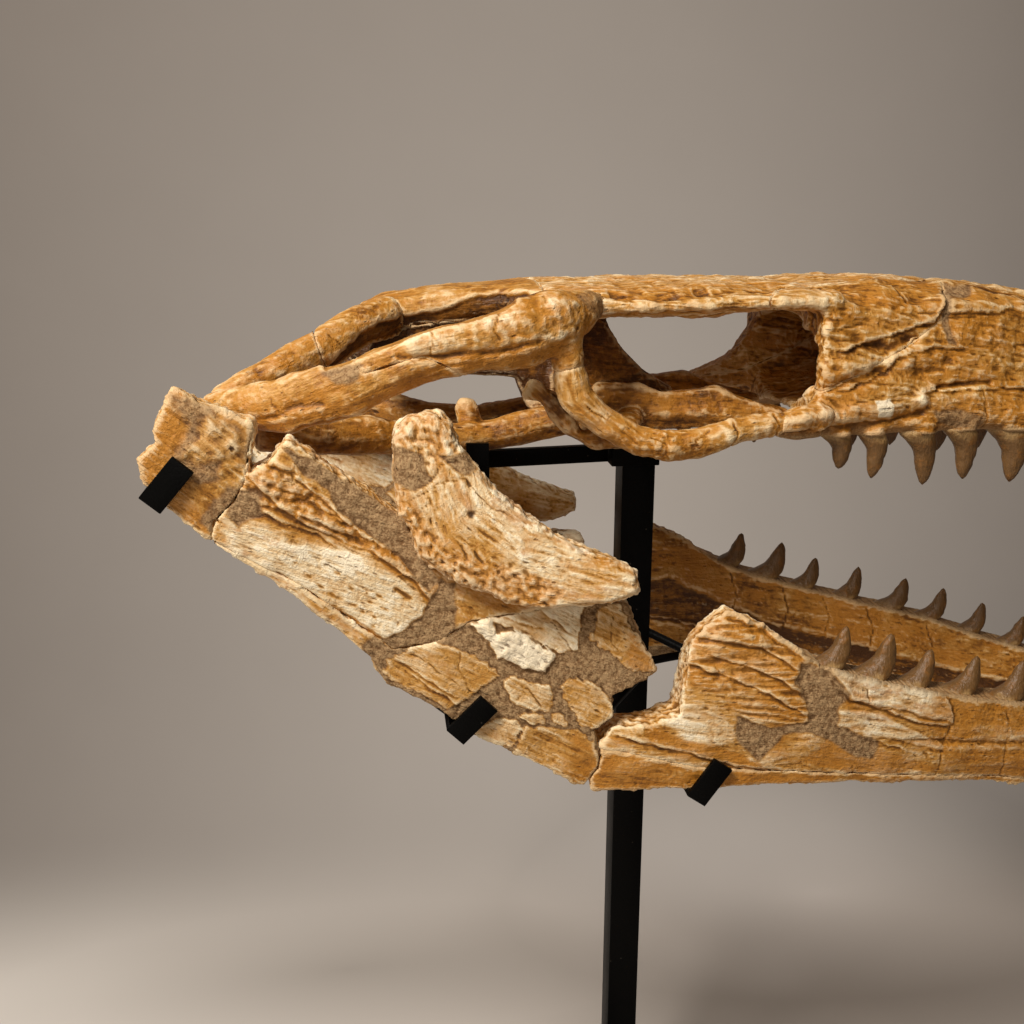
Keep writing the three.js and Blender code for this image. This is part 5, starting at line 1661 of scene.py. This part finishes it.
def soft_edged(name):
    """A copy of a frame solid with small rounded edges."""
    mesh = bpy.data.meshes.new("start")
    shape = bmesh.new()
    shape.from_mesh(nodes[name].data)
    bmesh.ops.remove_doubles(shape, verts=shape.verts, dist=1e-6)
    bmesh.ops.dissolve_limit(shape, angle_limit=math.radians(1), verts=shape.verts, edges=shape.edges)
    shape.to_mesh(mesh)
    shape.free()
    holder = in_scene("steel_" + name.removeprefix("stand_"), mesh)
    bevel = holder.modifiers.new("edges", "BEVEL")
    bevel.width, bevel.segments, bevel.limit_method = EDGE, 2, "ANGLE"
    bevel.angle_limit, bevel.harden_normals = math.radians(25), True
    mesh.shade_smooth()
    made = applied(holder)
    made.materials.append(STEEL)
    return made


stand_names = sorted(name for name in nodes if name.startswith("stand_"))
for name in stand_names:
    if name not in ROUND_RODS:
        made = soft_edged(name)
        place(made, made.name, "steel", [name])
print(len(stand_names) - len(ROUND_RODS), "bars, straps and plates")

# %% [markdown]
# The two spines and the cross rod are bent from round bar. Each follows a path, so Geometry Nodes
# sweep a circle along it.

# %% Round rods
def rod_tree():
    tree = bpy.data.node_groups.new("bent_rod", "GeometryNodeTree")
    for name, kind in [("Path", "NodeSocketGeometry"), ("Diameter", "NodeSocketFloat"),
                       ("Step", "NodeSocketFloat")]:
        tree.interface.new_socket(name, in_out="INPUT", socket_type=kind)
    tree.interface.new_socket("Rod", in_out="OUTPUT", socket_type="NodeSocketGeometry")
    given = add(tree, "NodeGroupInput").outputs
    half = add(tree, "ShaderNodeMath", {"operation": "MULTIPLY"}, {0: given["Diameter"], 1: 0.5})
    path = add(tree, "GeometryNodeCurveSplineType", {"spline_type": "CATMULL_ROM"}, {
        "Curve": add(tree, "GeometryNodeMeshToCurve", {}, {"Mesh": given["Path"]}).outputs[0]})
    path = add(tree, "GeometryNodeSetSplineResolution", {}, {"Geometry": path.outputs[0], "Resolution": 10})
    path = add(tree, "GeometryNodeResampleCurve", {"mode": "LENGTH"}, {
        "Curve": path.outputs[0], "Length": given["Step"]})
    ring = add(tree, "GeometryNodeCurvePrimitiveCircle", {}, {
        "Resolution": 20, "Radius": half.outputs[0]})
    rod = add(tree, "GeometryNodeCurveToMesh", {}, {
        "Curve": path.outputs[0], "Profile Curve": ring.outputs[0], "Fill Caps": True})
    rod = add(tree, "GeometryNodeRealizeInstances", {}, {"Geometry": rod.outputs[0]})
    rod = add(tree, "GeometryNodeSetMaterial", {}, {"Geometry": rod.outputs[0], "Material": STEEL})
    add(tree, "NodeGroupOutput", {}, {"Rod": rod.outputs[0]})
    return tree


RODS = rod_tree()
SIDE_ROD, CROSS_ROD = 7.6, 6.8          # diameters in mm
STEP = 0.008                            # metres from ring to ring along a rod
SPINE = [(-324, 121, -24), (-293, 114, -56), (-252, 109, -90), (-209, 103, -134), (-152, 101, -188),
         (-102, 101, -219), (-55, 101, -232), (20, 100, -236), (90, 98, -238), (150, 93, -242)]
CROSS = [(12.45, -8, -172), (50, -52, -181), (84, -92, -189), (90, -98, -196), (91, -98, -228)]


def settled(x, y, z):
    """The left lower jaw has slid 14 mm forwards and 28 mm down at its rear, and its rod with it."""
    rear = 1 - float(step_up(-70, 90, x))
    return x + 14 * rear, y, z - 28 * rear


def bent_rod(name, path, diameter):
    """One round rod along a path of points."""
    edges = [(k, k + 1) for k in range(len(path) - 1)]
    made = grown("steel_" + name, path, edges, RODS, {"Diameter": diameter / 1000, "Step": STEP})
    for face in made.polygons:
        face.use_smooth = len(face.vertices) == 4               # the flat ends stay flat
    place(made, "steel_" + name, "steel", ["stand_" + name])
    print(name, len(made.polygons), "faces")


bent_rod("spine_right", [(x, -y, z) for x, y, z in SPINE], SIDE_ROD)
bent_rod("spine_left", [settled(*point) for point in SPINE], SIDE_ROD)
bent_rod("cross_rod", CROSS, CROSS_ROD)

# %% [markdown]
# ## Floor, backdrop and light
# A photographer's paper sweep has no corner: the floor curves up into the wall. The light comes
# from one big soft key at the upper left in front and a weak fill, and the paper behind has a glow.

# %% The paper sweep
def paper():
    material, tree = empty_material("warm_grey_background_paper")
    where = add(tree, "ShaderNodeTexCoord").outputs["Object"]
    clouds = add(tree, "ShaderNodeTexNoise", {}, {
        "Vector": where, "Scale": per_mm(120.0), "Detail": 3.0}).outputs["Fac"]
    spot = add(tree, "ShaderNodeSeparateXYZ", {}, {0: where}).outputs
    # Three soft round fields, each set by where its middle lies and how far it reaches.
    field = {}
    for key, location, scale in [
        ("glow", (-0.02, -0.38, -0.14), (1.0, 0.6, 0.56)),      # the wall glows paler in the middle, a painted pool of light
        ("dim", (0.625, -2.6, 0.0), (2.5, 8.3, 0.5)),           # a painted shadow of the skull on the floor near where it meets the wall
        ("pool", (-0.86, -1.95, 0.0), (2.4, 5.0, 0.5)),         # a pool of light low on the right
    ]:
        centred = add(tree, "ShaderNodeMapping", {}, {
            "Vector": where, "Location": location, "Scale": scale}).outputs[0]
        field[key] = add(tree, "ShaderNodeTexGradient", {"gradient_type": "SPHERICAL"}, {
            "Vector": centred}).outputs["Fac"]
    glow = add(tree, "ShaderNodeMath", {"operation": "MULTIPLY_ADD"}, {
        0: clouds, 1: 0.06, 2: field["glow"]}).outputs[0]
    wall = add(tree, "ShaderNodeMix", {"data_type": "RGBA"}, {
        0: glow, 6: colour("#534c46"), 7: colour("#a1978d")}).outputs[2]
    # Painted falloff of light: the floor is coloured darker towards the right.
    across = add(tree, "ShaderNodeMapRange", {}, {
        "Value": spot["X"], "From Min": -0.55, "From Max": 0.3}).outputs["Result"]
    floor = add(tree, "ShaderNodeMix", {"data_type": "RGBA"}, {
        0: across, 6: colour("#d9d3cd"), 7: colour("#afa69f")}).outputs[2]
    # Painted shadow: the floor is darkened where the skull's shadow falls.
    dim = add(tree, "ShaderNodeMapRange", {}, {"Value": field["dim"], "To Max": 0.40}).outputs["Result"]
    floor = add(tree, "ShaderNodeMix", {"data_type": "RGBA"}, {
        0: dim, 6: floor, 7: colour("#5d554e")}).outputs[2]
    raised = add(tree, "ShaderNodeMapRange", {"interpolation_type": "SMOOTHSTEP"}, {
        "Value": spot["Y"], "From Min": 0.30, "From Max": 0.55}).outputs["Result"]
    light = add(tree, "ShaderNodeMath", {"operation": "MULTIPLY_ADD"}, {
        0: field["pool"], 1: 0.85, 2: raised}).outputs[0]
    surface = add(tree, "ShaderNodeMix", {"data_type": "RGBA"}, {
        0: raised, 6: floor, 7: colour("#4c4640")}).outputs[2]
    # A lamp behind the skull would throw light on the floor too. A faint glow of the wall's own
    # lights the wall alone, and keeps the skull's shadow off it.
    shader = add(tree, "ShaderNodeBsdfPrincipled", {}, {
        "Base Color": surface, "Roughness": 0.9, "Specular IOR Level": 0.1,
        "Emission Color": wall, "Emission Strength": light}).outputs["BSDF"]
    # The sheet has one printed side. Its back is left clear, so that the skull can be walked round.
    behind = add(tree, "ShaderNodeNewGeometry").outputs["Backfacing"]
    clear = add(tree, "ShaderNodeBsdfTransparent").outputs[0]
    either = add(tree, "ShaderNodeMixShader", {}, {0: behind, 1: shader, 2: clear})
    add(tree, "ShaderNodeOutputMaterial", {}, {"Surface": either.outputs[0]})
    return material


def sweep():
    """A floor that turns up into a wall behind the skull, in metres."""
    radius, turn_at, steps = 0.26, 0.38, 16
    front, top, half_width = -3.5, 3.4, 4.0
    angles = [math.pi / 2 * k / steps for k in range(steps + 1)]
    turn = [(turn_at + radius * math.sin(a), radius - radius * math.cos(a)) for a in angles]
    line = [(front, 0.0), *turn, (turn_at + radius, top)]
    mesh = bpy.data.meshes.new("paper_sweep")
    places = [(x, y, z) for x in (-half_width, half_width) for y, z in line]
    count = len(line)
    mesh.from_pydata(places, [], [(k, k + count, k + count + 1, k + 1) for k in range(count - 1)])
    mesh.shade_smooth()
    mesh.materials.append(paper())
    in_scene("paper_sweep", mesh)
    return len(mesh.polygons)


print("floor and wall in one sheet of", sweep(), "strips")

# %% [markdown]
# The key light is a square soft box at the upper left in front. The front light is larger and weak,
# and opens up the shadows. The room itself adds a little warm light from everywhere.

# %% Lamps
def lamp(name, stands_at, target, size, watts, tint):
    """A square soft light of a size in metres, turned to a target."""
    light = bpy.data.lights.new(name, "AREA")
    light.energy, light.color = watts, colour(tint)[:3]
    light.shape, light.size = "SQUARE", size
    holder = in_scene(name, light)
    holder.location = stands_at
    direction = Vector(target) - Vector(stands_at)
    holder.rotation_euler = direction.to_track_quat("-Z", "Y").to_euler()


lamp("key", (-1.1, -1.15, 2.25), (0.0, 0.0, 0.6), 0.7, 66, "#fff8ee")
lamp("front", (-0.6, -2.3, 1.3), (0.1, 0.0, 0.6), 1.4, 5, "#fff3e4")
world = bpy.data.worlds.new("studio")
world.use_nodes = True
background = world.node_tree.nodes["Background"]
background.inputs["Color"].default_value = colour("#f2e3d0")
background.inputs["Strength"].default_value = 0.09
bpy.context.scene.world = world
bpy.context.scene.view_settings.view_transform = "Standard"
print("two lamps and a soft room")

# %% [markdown]
# ## The camera
# The camera stands to the right and behind the middle of the skull, a little above it, and looks
# slightly down.

# %% Camera
EYE = (-0.198203, -0.824959, 0.870)     # where the lens is, in metres
RIGHT, UP, AHEAD = (0.99240, -0.12304, 0.0), (0.03295, 0.26574, 0.96348), (0.11855, 0.95616, -0.26778)
lens = bpy.data.cameras.new("camera")
lens.lens, lens.sensor_width, lens.clip_end = 39.34, 36.0, 20.0
camera = in_scene("camera", lens)
camera.matrix_world = Matrix([
    [RIGHT[k], UP[k], -AHEAD[k], EYE[k]] for k in range(3)] + [[0, 0, 0, 1]])
bpy.context.scene.camera = camera
print("camera at", [round(v, 3) for v in camera.location])
